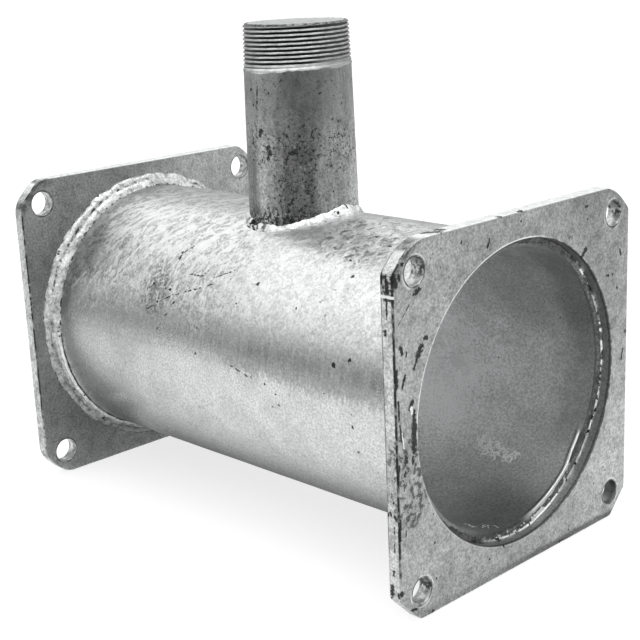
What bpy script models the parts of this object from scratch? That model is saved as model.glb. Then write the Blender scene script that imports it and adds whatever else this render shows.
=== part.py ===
"""Welded pipe tee: a plain run pipe, a square plate flange at each end, and a threaded branch.

The run pipe lies along X, the branch stands up along Z, and Y is the way across.
The origin is on the floor, under the point where the two pipe axes cross: the tee
rests on the lower edges of its two flanges. All lengths are in metres.
"""
import math

import bmesh
import bpy
from mathutils import Matrix, Vector

# Run pipe
FACE_TO_FACE = 0.310            # over the outer faces of the two flanges
RUN_OUTER_DIAMETER = 0.159
RUN_WALL = 0.0045
RUN_END_CHAMFER = 0.0006

# Square flanges
PLATE_RIM = 0.015               # narrowest land, between the plate's hole and its edges
PLATE_THICKNESS = 0.008
PLATE_CORNER_CUT = 0.014        # each corner is sheared off this far from its point, both ways
PLATE_CORNER_EASING = 0.0033    # by which the two ends of that cut are dressed round
PLATE_ARRIS = 0.0005            # rounding of the plate's arrises under the zinc
BORE_CLEARANCE = 0.0005         # between the run pipe and the hole it enters, each side
PIPE_ENTRY = 0.0008             # how far the run pipe's end goes into the plate
BOLT_HOLE_DIAMETER = 0.015
BOLT_HOLE_INSET = 0.015         # from the plate's edges to a hole's centre

# Branch
BRANCH_OUTER_DIAMETER = 0.0603
BRANCH_WALL = 0.00365
BRANCH_REACH = 0.185            # from the run pipe's axis to the branch's end
THREAD_LENGTH = 0.0240          # the tapered blank that the thread is cut on
THREAD_TAPER = 1.0 / 16.0       # on the diameter
THREAD_END_CHAMFER = 0.0011
BRANCH_BORE_CHAMFER = 0.0005

# Weld beads: the two legs of each fillet, and how their width wanders
FLANGE_BEAD_PLATE_LEG = 0.0078
FLANGE_BEAD_PIPE_LEG = 0.0066
SEAL_BEAD_LEG = 0.0014          # up the wall of the plate's hole, past the pipe's end
BRANCH_BEAD_PIPE_LEG = 0.0044
BRANCH_BEAD_NIPPLE_LEG = 0.0046
BEAD_CROWN = 1.45               # 1 is a quarter round, 2 a flat fillet
BEAD_SWELL = 0.05               # share by which a bead's legs swell and shrink at each lump
BEAD_LUMP_LENGTH = 0.021        # along the bead, from one lump to the next
BEAD_DRIFT = 0.02               # slower drift of the legs, as the welder's hand wanders
BEAD_DRIFTS_ROUND = 3           # drifts in one turn of the joint
CROWN_STEPS = 4

# Fits and facets
JOINT_GAP = 0.0003              # between pieces that touch on the real tee
RUN_FACETS = 96
BRANCH_FACETS = 64
BOLT_HOLE_FACETS = 24
EASING_FACETS = 3

# Hot-dip zinc: grey level and roughness where the steel was bright or dull before the dip
BRIGHT_ZINC = (0.62, 0.38)
MOTTLED_ZINC = (0.52, 0.50)
DULL_ZINC = (0.36, 0.50)
WELD_ZINC = (0.70, 0.35)
ZINC_METALLIC = 0.9
SHARPEST_SMOOTH_ANGLE = math.radians(50)

# Sizes that follow from those above
HALF_LENGTH = FACE_TO_FACE / 2
RUN_OUTER_RADIUS = RUN_OUTER_DIAMETER / 2
RUN_INNER_RADIUS = RUN_OUTER_RADIUS - RUN_WALL
PLATE_BORE_RADIUS = RUN_OUTER_RADIUS + BORE_CLEARANCE
PLATE_SIDE = 2 * (PLATE_BORE_RADIUS + PLATE_RIM)
AXIS_HEIGHT = PLATE_SIDE / 2
PLATE_INNER_FACE = HALF_LENGTH - PLATE_THICKNESS
RUN_END = PLATE_INNER_FACE + PIPE_ENTRY
BRANCH_OUTER_RADIUS = BRANCH_OUTER_DIAMETER / 2
BRANCH_INNER_RADIUS = BRANCH_OUTER_RADIUS - BRANCH_WALL
CUTTER_MARGIN = 0.01            # by which a cutter passes what it cuts


# Scene, collections and materials
def clear_scene():
    for obj in list(bpy.data.objects):
        bpy.data.objects.remove(obj, do_unlink=True)


def new_collection(name):
    collection = bpy.data.collections.new(name)
    bpy.context.scene.collection.children.link(collection)
    return collection


def galvanised(name, finish):
    grey, roughness = finish
    material = bpy.data.materials.new(name)
    material.use_nodes = True
    shader = material.node_tree.nodes["Principled BSDF"]
    shader.inputs["Base Color"].default_value = (grey, grey, grey, 1.0)
    shader.inputs["Metallic"].default_value = ZINC_METALLIC
    shader.inputs["Roughness"].default_value = roughness
    return material


def new_object(name, mesh, collection, material=None):
    obj = bpy.data.objects.new(name, mesh)
    collection.objects.link(obj)
    if material:
        mesh.materials.append(material)
    return obj


def even_out_shading(obj):
    """Keep flat faces flat in shade, and let only the small chamfers turn."""
    modifier = obj.modifiers.new("even_shading", "WEIGHTED_NORMAL")
    modifier.keep_sharp = True


def cut(obj, cutter):
    modifier = obj.modifiers.new("cut_" + cutter.name, "BOOLEAN")
    modifier.operation = "DIFFERENCE"
    modifier.solver = "EXACT"
    modifier.object = cutter


# Turned pieces
def turned(name, outline, facets, collection, material):
    """Turn a closed outline of (radius, height) points about the local Z axis."""
    mesh = bpy.data.meshes.new(name)
    points = [(radius, 0.0, height) for radius, height in outline]
    count = len(points)
    edges = [(i, (i + 1) % count) for i in range(count)]
    mesh.from_pydata(points, edges, [])
    obj = new_object(name, mesh, collection, material)
    screw = obj.modifiers.new("turn", "SCREW")
    screw.axis = "Z"
    screw.angle = math.tau
    screw.steps = facets
    screw.render_steps = facets
    screw.use_merge_vertices = True
    screw.merge_threshold = 0.00001
    screw.use_smooth_shade = True
    return obj


def run_pipe(collection, material):
    """Plain pipe with a small chamfer at each end, turned about Z and laid along X."""
    chamfer = RUN_END_CHAMFER
    outline = [
        (RUN_OUTER_RADIUS - chamfer, RUN_END),
        (RUN_OUTER_RADIUS, RUN_END - chamfer),
        (RUN_OUTER_RADIUS, -RUN_END + chamfer),
        (RUN_OUTER_RADIUS - chamfer, -RUN_END),
        (RUN_INNER_RADIUS, -RUN_END),
        (RUN_INNER_RADIUS, RUN_END),
    ]
    obj = turned("run_pipe", outline, RUN_FACETS, collection, material)
    obj.rotation_euler = (0.0, math.pi / 2, 0.0)
    obj.location = (0.0, 0.0, AXIS_HEIGHT)
    return obj


def branch_nipple(collection, material):
    """Nipple with a taper blank for the thread. Its foot is left long, and the saddle cuts it."""
    thread_start = BRANCH_REACH - THREAD_LENGTH
    end_radius = BRANCH_OUTER_RADIUS - THREAD_LENGTH * THREAD_TAPER / 2
    saddle_low_side = math.sqrt(RUN_OUTER_RADIUS ** 2 - BRANCH_OUTER_RADIUS ** 2)
    foot = saddle_low_side - CUTTER_MARGIN
    outline = [
        (end_radius - THREAD_END_CHAMFER, BRANCH_REACH),
        (end_radius, BRANCH_REACH - THREAD_END_CHAMFER),
        (BRANCH_OUTER_RADIUS, thread_start),
        (BRANCH_OUTER_RADIUS, foot),
        (BRANCH_INNER_RADIUS, foot),
        (BRANCH_INNER_RADIUS, BRANCH_REACH - BRANCH_BORE_CHAMFER),
        (BRANCH_INNER_RADIUS + BRANCH_BORE_CHAMFER, BRANCH_REACH),
    ]
    obj = turned("branch_nipple", outline, BRANCH_FACETS, collection, material)
    obj.location = (0.0, 0.0, AXIS_HEIGHT)
    return obj


# Flanges
def bevel_corners(bm, offset, segments):
    """Bevel every edge that runs through the plate's thickness."""
    corners = [
        edge for edge in bm.edges
        if abs(edge.verts[0].co.x - edge.verts[1].co.x) > PLATE_THICKNESS / 2
    ]
    bmesh.ops.bevel(bm, geom=corners, offset=offset, offset_type="OFFSET",
                    segments=segments, profile=0.5, affect="EDGES")


def flange_mesh():
    """A square plate with cut corners, thickness along X, still without its holes."""
    mesh = bpy.data.meshes.new("flange_plate")
    bm = bmesh.new()
    bmesh.ops.create_cube(bm, size=1.0)
    bmesh.ops.scale(bm, vec=(PLATE_THICKNESS, PLATE_SIDE, PLATE_SIDE), verts=bm.verts)
    bevel_corners(bm, PLATE_CORNER_CUT, 1)
    bevel_corners(bm, PLATE_CORNER_EASING, EASING_FACETS)
    bm.to_mesh(mesh)
    bm.free()
    mesh.shade_smooth()
    return mesh


def flange(name, side, mesh, cutters, collection):
    """Place a plate at one end of the run, side +1 or -1, then bore and drill it."""
    obj = new_object(name, mesh, collection)
    obj.location = (side * (HALF_LENGTH - PLATE_THICKNESS / 2), 0.0, AXIS_HEIGHT)
    for cutter in cutters:
        cut(obj, cutter)
    arris = obj.modifiers.new("arrises", "BEVEL")
    arris.width = PLATE_ARRIS
    arris.segments = 1
    arris.limit_method = "ANGLE"
    arris.angle_limit = SHARPEST_SMOOTH_ANGLE
    even_out_shading(obj)
    return obj


# Cutters: solid rods along X or Z
def rod_cutter(name, radius, length, facets, centres, turn, collection):
    """Rods of one size, one at each centre, as a single cutter."""
    mesh = bpy.data.meshes.new(name)
    bm = bmesh.new()
    for centre in centres:
        bmesh.ops.create_cone(bm, cap_ends=True, segments=facets, radius1=radius,
                              radius2=radius, depth=length,
                              matrix=Matrix.Translation(centre) @ turn)
    bm.to_mesh(mesh)
    bm.free()
    mesh.shade_smooth()
    obj = new_object(name, mesh, collection)
    obj.hide_render = True
    obj.display_type = "WIRE"
    return obj


def make_cutters(collection):
    along_x = Matrix.Rotation(math.pi / 2, 4, "Y")
    upright = Matrix.Identity(4)
    through = FACE_TO_FACE + 2 * CUTTER_MARGIN
    axis_point = Vector((0.0, 0.0, AXIS_HEIGHT))
    half_pitch = PLATE_SIDE / 2 - BOLT_HOLE_INSET
    hole_centres = [
        axis_point + Vector((0.0, y_side * half_pitch, z_side * half_pitch))
        for y_side in (-1, 1) for z_side in (-1, 1)
    ]
    port_height = RUN_OUTER_RADIUS + CUTTER_MARGIN
    port_centre = axis_point + Vector((0.0, 0.0, port_height / 2))
    return {
        "plate_bore": rod_cutter("plate_bore", PLATE_BORE_RADIUS, through, RUN_FACETS,
                                 [axis_point], along_x, collection),
        "bolt_holes": rod_cutter("bolt_holes", BOLT_HOLE_DIAMETER / 2, through,
                                 BOLT_HOLE_FACETS, hole_centres, along_x, collection),
        "branch_port": rod_cutter("branch_port", BRANCH_INNER_RADIUS, port_height,
                                  BRANCH_FACETS, [port_centre], upright, collection),
        "saddle": rod_cutter("saddle", RUN_OUTER_RADIUS + JOINT_GAP, through, RUN_FACETS,
                             [axis_point], along_x, collection),
    }


# Weld beads
def fillet_section(base_leg, rise_leg):
    """Outline of a fillet bead: its root, then its crown from one toe to the other.

    The first number runs out along the base, the second up the piece that stands on it.
    """
    crown = []
    for step in range(CROWN_STEPS + 1):
        angle = math.pi / 2 * step / CROWN_STEPS
        out = base_leg * abs(math.cos(angle)) ** BEAD_CROWN
        up = rise_leg * abs(math.sin(angle)) ** BEAD_CROWN
        crown.append((out, up))
    crown[0] = (base_leg, 0.0)
    crown[-1] = (0.0, rise_leg)
    return [(0.0, 0.0), (base_leg / 2, 0.0)] + crown


def bead(name, radius, steps, place, base_leg, rise_leg, collection, material):
    """Loft a fillet round a closed joint. place(angle, out, up) gives each point."""
    lumps = round(math.tau * radius / BEAD_LUMP_LENGTH)
    bm = bmesh.new()
    rings = []
    for step in range(steps):
        angle = math.tau * step / steps
        lump = BEAD_SWELL * math.sin(lumps * angle)
        drift = BEAD_DRIFT * math.cos(BEAD_DRIFTS_ROUND * angle)
        size = 1.0 + lump + drift
        section = fillet_section(base_leg * size, rise_leg * size)
        rings.append([bm.verts.new(place(angle, out, up)) for out, up in section])
    for step in range(steps):
        here = rings[step]
        there = rings[(step + 1) % steps]
        for i in range(len(here)):
            j = (i + 1) % len(here)
            bm.faces.new((here[i], here[j], there[j], there[i]))
    bmesh.ops.recalc_face_normals(bm, faces=bm.faces)
    mesh = bpy.data.meshes.new(name)
    bm.to_mesh(mesh)
    bm.free()
    mesh.shade_smooth()
    mesh.set_sharp_from_angle(angle=SHARPEST_SMOOTH_ANGLE)
    return new_object(name, mesh, collection, material)


def flange_bead(name, side, collection, material):
    """Fillet outside the flange: base on the plate's inner face, rise along the pipe."""
    root_radius = RUN_OUTER_RADIUS + JOINT_GAP
    root_x = PLATE_INNER_FACE - JOINT_GAP

    def place(angle, out, up):
        radius = root_radius + out
        x = side * (root_x - up)
        return (x, radius * math.cos(angle), AXIS_HEIGHT + radius * math.sin(angle))

    return bead(name, root_radius, RUN_FACETS, place, FLANGE_BEAD_PLATE_LEG,
                FLANGE_BEAD_PIPE_LEG, collection, material)


def seal_bead(name, side, collection, material):
    """Seal run in the plate's hole: base on the pipe's end, rise out along the hole."""
    root_radius = PLATE_BORE_RADIUS - JOINT_GAP
    root_x = RUN_END + JOINT_GAP
    widest = 1.0 + BEAD_SWELL + BEAD_DRIFT
    end_leg = (root_radius - RUN_INNER_RADIUS) / widest

    def place(angle, out, up):
        radius = root_radius - out
        x = side * (root_x + up)
        return (x, radius * math.cos(angle), AXIS_HEIGHT + radius * math.sin(angle))

    return bead(name, root_radius, RUN_FACETS, place, end_leg, SEAL_BEAD_LEG,
                collection, material)


def branch_bead(collection, material):
    """Fillet on the saddle where the branch stands on the run.

    Each section stands in a plane through the branch's axis. The height of the run's
    round back is added to every point, so the bead rises and falls with the saddle.
    """
    root_radius = BRANCH_OUTER_RADIUS + JOINT_GAP

    def place(angle, out, up):
        reach = root_radius + out
        across = reach * math.sin(angle)
        back = math.sqrt(RUN_OUTER_RADIUS ** 2 - across ** 2)
        z = AXIS_HEIGHT + back + JOINT_GAP + up
        return (reach * math.cos(angle), across, z)

    return bead("weld_branch", root_radius, BRANCH_FACETS, place, BRANCH_BEAD_PIPE_LEG,
                BRANCH_BEAD_NIPPLE_LEG, collection, material)


# Assembly
def build_tee():
    clear_scene()
    parts = new_collection("pipe_tee")
    cutters = make_cutters(new_collection("cutters"))

    run = run_pipe(parts, galvanised("zinc_run_pipe", BRIGHT_ZINC))
    cut(run, cutters["branch_port"])
    even_out_shading(run)

    branch = branch_nipple(parts, galvanised("zinc_branch", DULL_ZINC))
    cut(branch, cutters["saddle"])
    even_out_shading(branch)

    plate = flange_mesh()
    plate.materials.append(galvanised("zinc_flange", MOTTLED_ZINC))
    drilled = [cutters["plate_bore"], cutters["bolt_holes"]]
    flange("flange_front", 1, plate, drilled, parts)
    flange("flange_rear", -1, plate, drilled, parts)

    weld_zinc = galvanised("zinc_weld", WELD_ZINC)
    flange_bead("weld_front_outer", 1, parts, weld_zinc)
    flange_bead("weld_rear_outer", -1, parts, weld_zinc)
    seal_bead("weld_front_inner", 1, parts, weld_zinc)
    seal_bead("weld_rear_inner", -1, parts, weld_zinc)
    branch_bead(parts, weld_zinc)


build_tee()
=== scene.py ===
"""A welded pipe tee, dipped in hot zinc: a run of pipe between two square flanges, and a threaded branch.

All lengths are in metres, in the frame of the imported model: X along the run, Z up the branch,
and the origin on the floor below the point where the two pipes' axes cross.
"""
import math

import bmesh
import bpy
import numpy as np
from mathutils import Matrix, Vector, noise


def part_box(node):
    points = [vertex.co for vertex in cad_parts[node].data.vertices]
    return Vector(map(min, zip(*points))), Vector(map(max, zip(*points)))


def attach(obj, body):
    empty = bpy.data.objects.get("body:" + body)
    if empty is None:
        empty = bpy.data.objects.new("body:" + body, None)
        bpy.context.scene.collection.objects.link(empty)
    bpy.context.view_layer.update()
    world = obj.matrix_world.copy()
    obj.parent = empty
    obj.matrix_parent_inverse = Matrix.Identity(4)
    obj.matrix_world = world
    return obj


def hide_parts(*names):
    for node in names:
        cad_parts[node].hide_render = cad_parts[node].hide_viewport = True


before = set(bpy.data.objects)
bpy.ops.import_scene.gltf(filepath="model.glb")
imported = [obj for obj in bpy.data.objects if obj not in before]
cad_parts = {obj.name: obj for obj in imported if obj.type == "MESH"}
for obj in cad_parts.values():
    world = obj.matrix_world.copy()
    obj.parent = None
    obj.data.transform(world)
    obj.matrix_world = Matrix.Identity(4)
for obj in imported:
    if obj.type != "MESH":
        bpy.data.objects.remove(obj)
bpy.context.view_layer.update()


# Run pipe: a length of 159 mm steel tube, cut square at both ends and bored on top for the branch.
# It was dipped in hot zinc. The zinc dragged into pale flames on the upper side as it ran off,
# and set in an even, finely grained coat below. The bore stayed duller.
RUN_WALL = 0.0045
RUN_END_ROUNDING = 0.0006
BRANCH_BORE_RADIUS = 0.0265
RUN_STEPS_ROUND = 320
RUN_STEPS_ALONG = 180
RUN_BORE_STEPS_ALONG = 50
PORT_STEPS_ROUND = 128
RUN_WAVES = ((0.040, 0.00012), (0.011, 0.00004))     # size and height of the coat's unevenness
RUN_FADE = 0.010                                     # over which it dies out at each end
DROSS_CENTRE = (0.052, 1.20)                         # along the pipe, and round it from the -Y side
DROSS_REACH = (0.026, 0.024)
DROSS_HEIGHT = 0.00050
DROSS_SIZE = 0.0045
RUN_LIP_STEPS_ALONG = 22                             # finer steps in the bore, near its front end
RUN_LIP = 0.0060
LIP_RIDGE_HEIGHT = 0.0007                            # of a ridge where the seal weld burnt through
LIP_RIDGE_WIDTH = 0.0005
LIP_RIDGE_BEHIND = (0.0005, 0.0020)                  # how far behind the pipe's end, low and higher
LIP_RIDGE_CLIMB = (0.036, 0.046)                     # heights between which it changes over
LIP_RIDGE_TOP = (0.058, 0.052)                       # and where it dies out
LIP_RIDGE_SIDE = (0.006, 0.022)                      # y between which it rises
LIP_RIDGE_STRAY = 0.0004                             # by which it strays along the pipe
SHARP_ANGLE = math.radians(40)

run_low, run_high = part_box("run_pipe")
axis_height = (run_low.z + run_high.z) / 2
run_radius = (run_high.z - run_low.z) / 2
run_bore_radius = run_radius - RUN_WALL
run_end = run_high.x


def bumps(points, size, seed):
    """Smooth uneven heights, about -1 to 1, at an array of points. Each bump is about size across."""
    shift = Vector((3.7, 9.1, 5.3)) * seed
    heights = [noise.noise(Vector(point) / size + shift) for point in points.reshape(-1, 3).tolist()]
    return np.array(heights).reshape(points.shape[:-1])


def ease(values, low, high):
    """0 below low, 1 above high, and a soft step between them."""
    share = np.clip((values - low) / (high - low), 0.0, 1.0)
    return share * share * (3.0 - 2.0 * share)


def skin(name, rings):
    """Join rings of points into a closed skin: each ring is closed, and the last meets the first."""
    rows, columns = rings.shape[:2]
    here = np.arange(rows * columns).reshape(rows, columns)
    beside = np.roll(here, -1, axis=1)
    ahead = np.roll(here, -1, axis=0)
    across = np.roll(beside, -1, axis=0)
    faces = np.stack([here, beside, across, ahead], axis=-1).reshape(-1, 4)
    mesh = bpy.data.meshes.new(name)
    mesh.from_pydata(rings.reshape(-1, 3).tolist(), [], faces.tolist())
    bm = bmesh.new()
    bm.from_mesh(mesh)
    bmesh.ops.remove_doubles(bm, verts=bm.verts, dist=0.000001)
    bmesh.ops.delete(bm, geom=[edge for edge in bm.edges if edge.is_wire], context="EDGES")
    if bm.calc_volume(signed=True) < 0:
        bmesh.ops.reverse_faces(bm, faces=bm.faces)
    bm.to_mesh(mesh)
    bm.free()
    mesh.shade_smooth()
    mesh.set_sharp_from_angle(angle=SHARP_ANGLE)
    piece = bpy.data.objects.new(name, mesh)
    bpy.context.scene.collection.objects.link(piece)
    return piece


def turned(name, outline, centre, axis, steps):
    """Turn an outline of (radius, along) points, which starts and ends on the axis, into a solid."""
    frame_of_axis = Vector(axis).to_track_quat("Z", "Y").to_matrix()
    rings = []
    for step in range(steps):
        angle = math.tau * step / steps
        ring = [
            Vector(centre) + frame_of_axis @ Vector((r * math.cos(angle), r * math.sin(angle), along))
            for r, along in outline
        ]
        rings.append([tuple(point) for point in ring])
    return skin(name, np.array(rings))


def cut_away(piece, cutters):
    """Cut solids out of a piece for good, and throw the cutters away."""
    for cutter in cutters:
        boolean = piece.modifiers.new("cut", "BOOLEAN")
        boolean.operation = "DIFFERENCE"
        boolean.solver = "EXACT"
        boolean.object = cutter
    graph = bpy.context.evaluated_depsgraph_get()
    piece.data = bpy.data.meshes.new_from_object(piece.evaluated_get(graph))
    piece.modifiers.clear()
    for cutter in cutters:
        bpy.data.objects.remove(cutter)
    piece.data.set_sharp_from_angle(angle=SHARP_ANGLE)


outer_x = np.linspace(-run_end + RUN_END_ROUNDING, run_end - RUN_END_ROUNDING, RUN_STEPS_ALONG)
lip_x = np.linspace(run_end, run_end - RUN_LIP, RUN_LIP_STEPS_ALONG, endpoint=False)
bore_x = np.concatenate([lip_x, np.linspace(run_end - RUN_LIP, -run_end, RUN_BORE_STEPS_ALONG)])
section_x = np.concatenate([outer_x, [run_end], bore_x, [-run_end]])
section_r = np.concatenate([
    np.full(RUN_STEPS_ALONG, run_radius),
    [run_radius - RUN_END_ROUNDING],
    np.full(len(bore_x), run_bore_radius),
    [run_radius - RUN_END_ROUNDING],
])
round_angle = np.linspace(0.0, math.tau, RUN_STEPS_ROUND, endpoint=False)[:, None]


def run_points(x, radius, angle):
    """Points on the run pipe. The angle starts on the -Y side and climbs over the top."""
    y = -radius * np.cos(angle)
    z = axis_height + radius * np.sin(angle)
    return np.stack(np.broadcast_arrays(x, y, z), axis=-1)


plain = run_points(section_x[None, :], section_r[None, :], round_angle)
relief = sum(height * bumps(plain, size, 1 + i) for i, (size, height) in enumerate(RUN_WAVES))
dross_along = (section_x[None, :] - DROSS_CENTRE[0]) / DROSS_REACH[0]
dross_round = (round_angle - DROSS_CENTRE[1]) * run_radius / DROSS_REACH[1]
dross = np.exp(-dross_along ** 2 - dross_round ** 2)
relief = relief + dross * DROSS_HEIGHT * bumps(plain, DROSS_SIZE, 3)
relief = relief * ease(run_end - np.abs(section_x[None, :]), 0.0, RUN_FADE)
relief = relief * (section_r[None, :] == run_radius)
behind_low, behind_high = LIP_RIDGE_BEHIND
ridge_x = run_end - behind_low - (behind_high - behind_low) * ease(plain[..., 2], *LIP_RIDGE_CLIMB)
ridge_x = ridge_x + LIP_RIDGE_STRAY * bumps(plain, 0.010, 4)
ridge = np.exp(-((section_x[None, :] - ridge_x) / LIP_RIDGE_WIDTH) ** 2)
ridge = ridge * (0.8 + 0.5 * bumps(plain, 0.004, 5))
ridge = ridge * ease(-plain[..., 2], -LIP_RIDGE_TOP[0], -LIP_RIDGE_TOP[1])
ridge = ridge * ease(plain[..., 1], *LIP_RIDGE_SIDE)
relief = relief - LIP_RIDGE_HEIGHT * ridge * (section_r[None, :] == run_bore_radius)
run_piece = skin("galvanised_run", run_points(section_x[None, :], section_r[None, :] + relief, round_angle))

port_top = axis_height + run_radius + RUN_WALL
port_outline = [
    (0.0, axis_height), (BRANCH_BORE_RADIUS, axis_height), (BRANCH_BORE_RADIUS, port_top), (0.0, port_top),
]
port = turned("branch_port", port_outline, (0, 0, 0), (0, 0, 1), PORT_STEPS_ROUND)
cut_away(run_piece, [port])


def add_node(tree, kind, inputs, output=0, **settings):
    """Add a node to a material's tree, set or link its inputs, and give back one of its outputs."""
    node = tree.nodes.new(kind)
    for name, value in settings.items():
        setattr(node, name, value)
    for name, value in inputs.items():
        if isinstance(value, bpy.types.NodeSocket):
            tree.links.new(value, node.inputs[name])
        else:
            node.inputs[name].default_value = value
    return node.outputs[output]


class Finish:
    """A material being made up. Each call adds nodes and gives back the socket that comes out of them."""

    tint = (0.985, 1.0, 1.0, 1.0)

    def __init__(self, name, metallic):
        self.material = bpy.data.materials.new(name)
        self.material.use_nodes = True
        self.tree = self.material.node_tree
        self.shader = self.tree.nodes["Principled BSDF"]
        self.shader.inputs["Metallic"].default_value = metallic
        self.place = self.add("ShaderNodeTexCoord", {}, "Object")
        self.x, self.y, self.z = self.split(self.place)
        self.bent = self.bend(self.place, 0.006, 0.0024, 2.0)

    def add(self, kind, inputs, output=0, **settings):
        return add_node(self.tree, kind, inputs, output, **settings)

    def bend(self, place, size, reach, detail):
        """Shift places aside unevenly, so that what is laid out on them bends."""
        drift = self.add("ShaderNodeTexNoise", {"Vector": place, "Scale": 1.0 / size, "Detail": detail},
                         "Color")
        centred = self.add("ShaderNodeVectorMath", {0: drift, 1: (0.5, 0.5, 0.5)}, operation="SUBTRACT")
        aside = self.add("ShaderNodeVectorMath", {0: centred, "Scale": reach}, operation="SCALE")
        return self.add("ShaderNodeVectorMath", {0: place, 1: aside}, operation="ADD")

    def split(self, vector):
        node = self.tree.nodes.new("ShaderNodeSeparateXYZ")
        self.tree.links.new(vector, node.inputs[0])
        return node.outputs[0], node.outputs[1], node.outputs[2]

    def maths(self, operation, first, second=0.0):
        return self.add("ShaderNodeMath", {0: first, 1: second}, operation=operation)

    def less(self, source, amount):
        return self.maths("SUBTRACT", source, amount)

    def plus(self, source, amount):
        return self.maths("ADD", source, amount)

    def off(self, mask):
        """1 where the mask is 0, and 0 where it is 1."""
        return self.less(1.0, mask)

    def far(self, source, middle):
        """How far a value is from a middle one."""
        return self.maths("ABSOLUTE", self.less(source, middle))

    def near(self, source, middle, close, away):
        """1 where a value is as close as that to the middle one, and 0 from away on."""
        return self.levels(self.far(source, middle), close, away, 1.0, 0.0)

    def wobble(self, source, uneven, reach):
        """Shift a value up and down by an uneven one, over about the reach."""
        return self.plus(source, self.both(self.less(uneven, 0.5), reach))

    def both(self, *sources):
        """The product of several values: for masks, where all of them are 1."""
        product = sources[0]
        for source in sources[1:]:
            product = self.maths("MULTIPLY", product, source)
        return product

    def levels(self, source, low, high, start=0.0, end=1.0):
        """Stretch low to high over start to end, with soft ends."""
        span = {"Value": source, "From Min": low, "From Max": high, "To Min": start, "To Max": end}
        return self.add("ShaderNodeMapRange", span, interpolation_type="SMOOTHSTEP")

    def frayed(self, source, uneven, reach, *span):
        """The levels of a value that an uneven one shifts, so that their edge is frayed."""
        return self.levels(self.wobble(source, uneven, reach), *span)

    def blend(self, share, first, second):
        return self.add("ShaderNodeMix", {0: share, 2: first, 3: second})

    def toned(self, grey, where, tone):
        """The grey, multiplied by the tone where the mask is 1."""
        return self.both(grey, self.blend(where, 1.0, tone))

    def clouds(self, size, detail=3.0, roughness=0.55, twist=0.0, place=None):
        """Uneven values from 0 to 1 in patches about size across."""
        where = self.place if place is None else place
        return self.add("ShaderNodeTexNoise",
                        {"Vector": where, "Scale": 1.0 / size, "Detail": detail, "Roughness": roughness,
                         "Distortion": twist})

    def patches(self, low, high, *cloud):
        """0 or 1 in patches: 1 where such clouds are past high, on the far side of low."""
        return self.levels(self.clouds(*cloud), low, high)

    def pits(self, spacing, radius, share):
        """1 inside round pits: one to a cell of the spacing, in the given share of the cells."""
        cells = self.tree.nodes.new("ShaderNodeTexVoronoi")
        self.tree.links.new(self.place, cells.inputs["Vector"])
        cells.inputs["Scale"].default_value = 1.0 / spacing
        inside = self.levels(cells.outputs["Distance"], 0.6 * radius / spacing, radius / spacing, 1.0, 0.0)
        chosen = self.maths("LESS_THAN", self.split(cells.outputs["Color"])[0], share)
        return self.both(inside, chosen)

    def stroke(self, start, end, width, ragged):
        """1 on a slightly bent mark from start to end, with an edge broken up by ragged."""
        along = Vector(end) - Vector(start)
        from_start = self.add("ShaderNodeVectorMath", {0: self.bent, 1: tuple(start)}, operation="SUBTRACT")
        reach = self.add("ShaderNodeVectorMath", {0: from_start, 1: tuple(along / along.length_squared)},
                         "Value", operation="DOT_PRODUCT")
        share = self.add("ShaderNodeClamp", {0: reach})
        nearest = self.add("ShaderNodeVectorMath", {0: tuple(along), "Scale": share}, operation="SCALE")
        away = self.add("ShaderNodeVectorMath", {0: from_start, 1: nearest}, "Value", operation="DISTANCE")
        broken = self.wobble(away, ragged, 1.2 * width)
        return self.levels(broken, 0.35 * width, 0.60 * width, 1.0, 0.0)

    def strokes(self, place, marks, ragged):
        """A stroke for each mark of a table. place() puts the mark's two pairs of values on the piece."""
        return [self.stroke(place(*mark[:2]), place(*mark[2:4]), mark[4], ragged) for mark in marks]

    def most(self, sources):
        """The highest of several values."""
        highest = sources[0]
        for source in sources[1:]:
            highest = self.maths("MAXIMUM", highest, source)
        return highest

    def done(self, grey, roughness, height, depth):
        """Set the grey, roughness and relief. Returns the finished material."""
        colour = self.add("ShaderNodeMix", {0: grey, 6: (0.0, 0.0, 0.0, 1.0), 7: self.tint}, 2,
                          data_type="RGBA")
        normal = self.add("ShaderNodeBump", {"Height": height, "Distance": depth})
        self.tree.links.new(colour, self.shader.inputs["Base Color"])
        self.tree.links.new(roughness, self.shader.inputs["Roughness"])
        self.tree.links.new(normal, self.shader.inputs["Normal"])
        return self.material


FLAME_LEAN = math.radians(50)        # of the flames on the pipe's back, from its length
DRIP_LEAN = math.radians(80)         # and of the short drips on its shoulder
RUN_PIT_MARKS = (                    # along the pipe, degrees round it, and size
    (0.025, 40, 0.0018), (0.060, 34, 0.0012), (-0.010, 7, 0.0014), (0.047, 3, 0.0014), (0.032, 79, 0.0014),
    (0.077, 58, 0.0016), (0.086, 51, 0.0018), (0.096, 17, 0.0030), (0.106, 20, 0.0026), (0.111, -4, 0.0014),
    (0.112, -14, 0.0012), (0.057, -4, 0.0012), (0.055, 0, 0.0010), (-0.057, 31, 0.0018), (-0.045, 30, 0.0016),
    (-0.041, 30, 0.0016), (-0.049, 24, 0.0018), (-0.046, 47, 0.0016), (-0.045, 44, 0.0022),
    (-0.041, 50, 0.0014),
    (0.053, 84, 0.0020), (0.054, 74, 0.0018), (0.077, 74, 0.0020), (0.089, 75, 0.0016), (0.092, 69, 0.0018),
)
RUN_SCRATCHES = (                    # from and to, along the pipe and degrees round it, and width
    (-0.060, 19, -0.037, 28, 0.0011), (-0.037, 28, -0.008, 36, 0.0010), (-0.008, 39, 0.004, 44, 0.0008),
    (-0.045, 13, -0.034, 26, 0.0015), (-0.046, 44, -0.041, 51, 0.0014), (-0.030, 38, -0.020, 38, 0.0011),
    (-0.020, 38, -0.017, 41, 0.0011), (0.020, 6, 0.034, 4, 0.0010),
)
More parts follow.
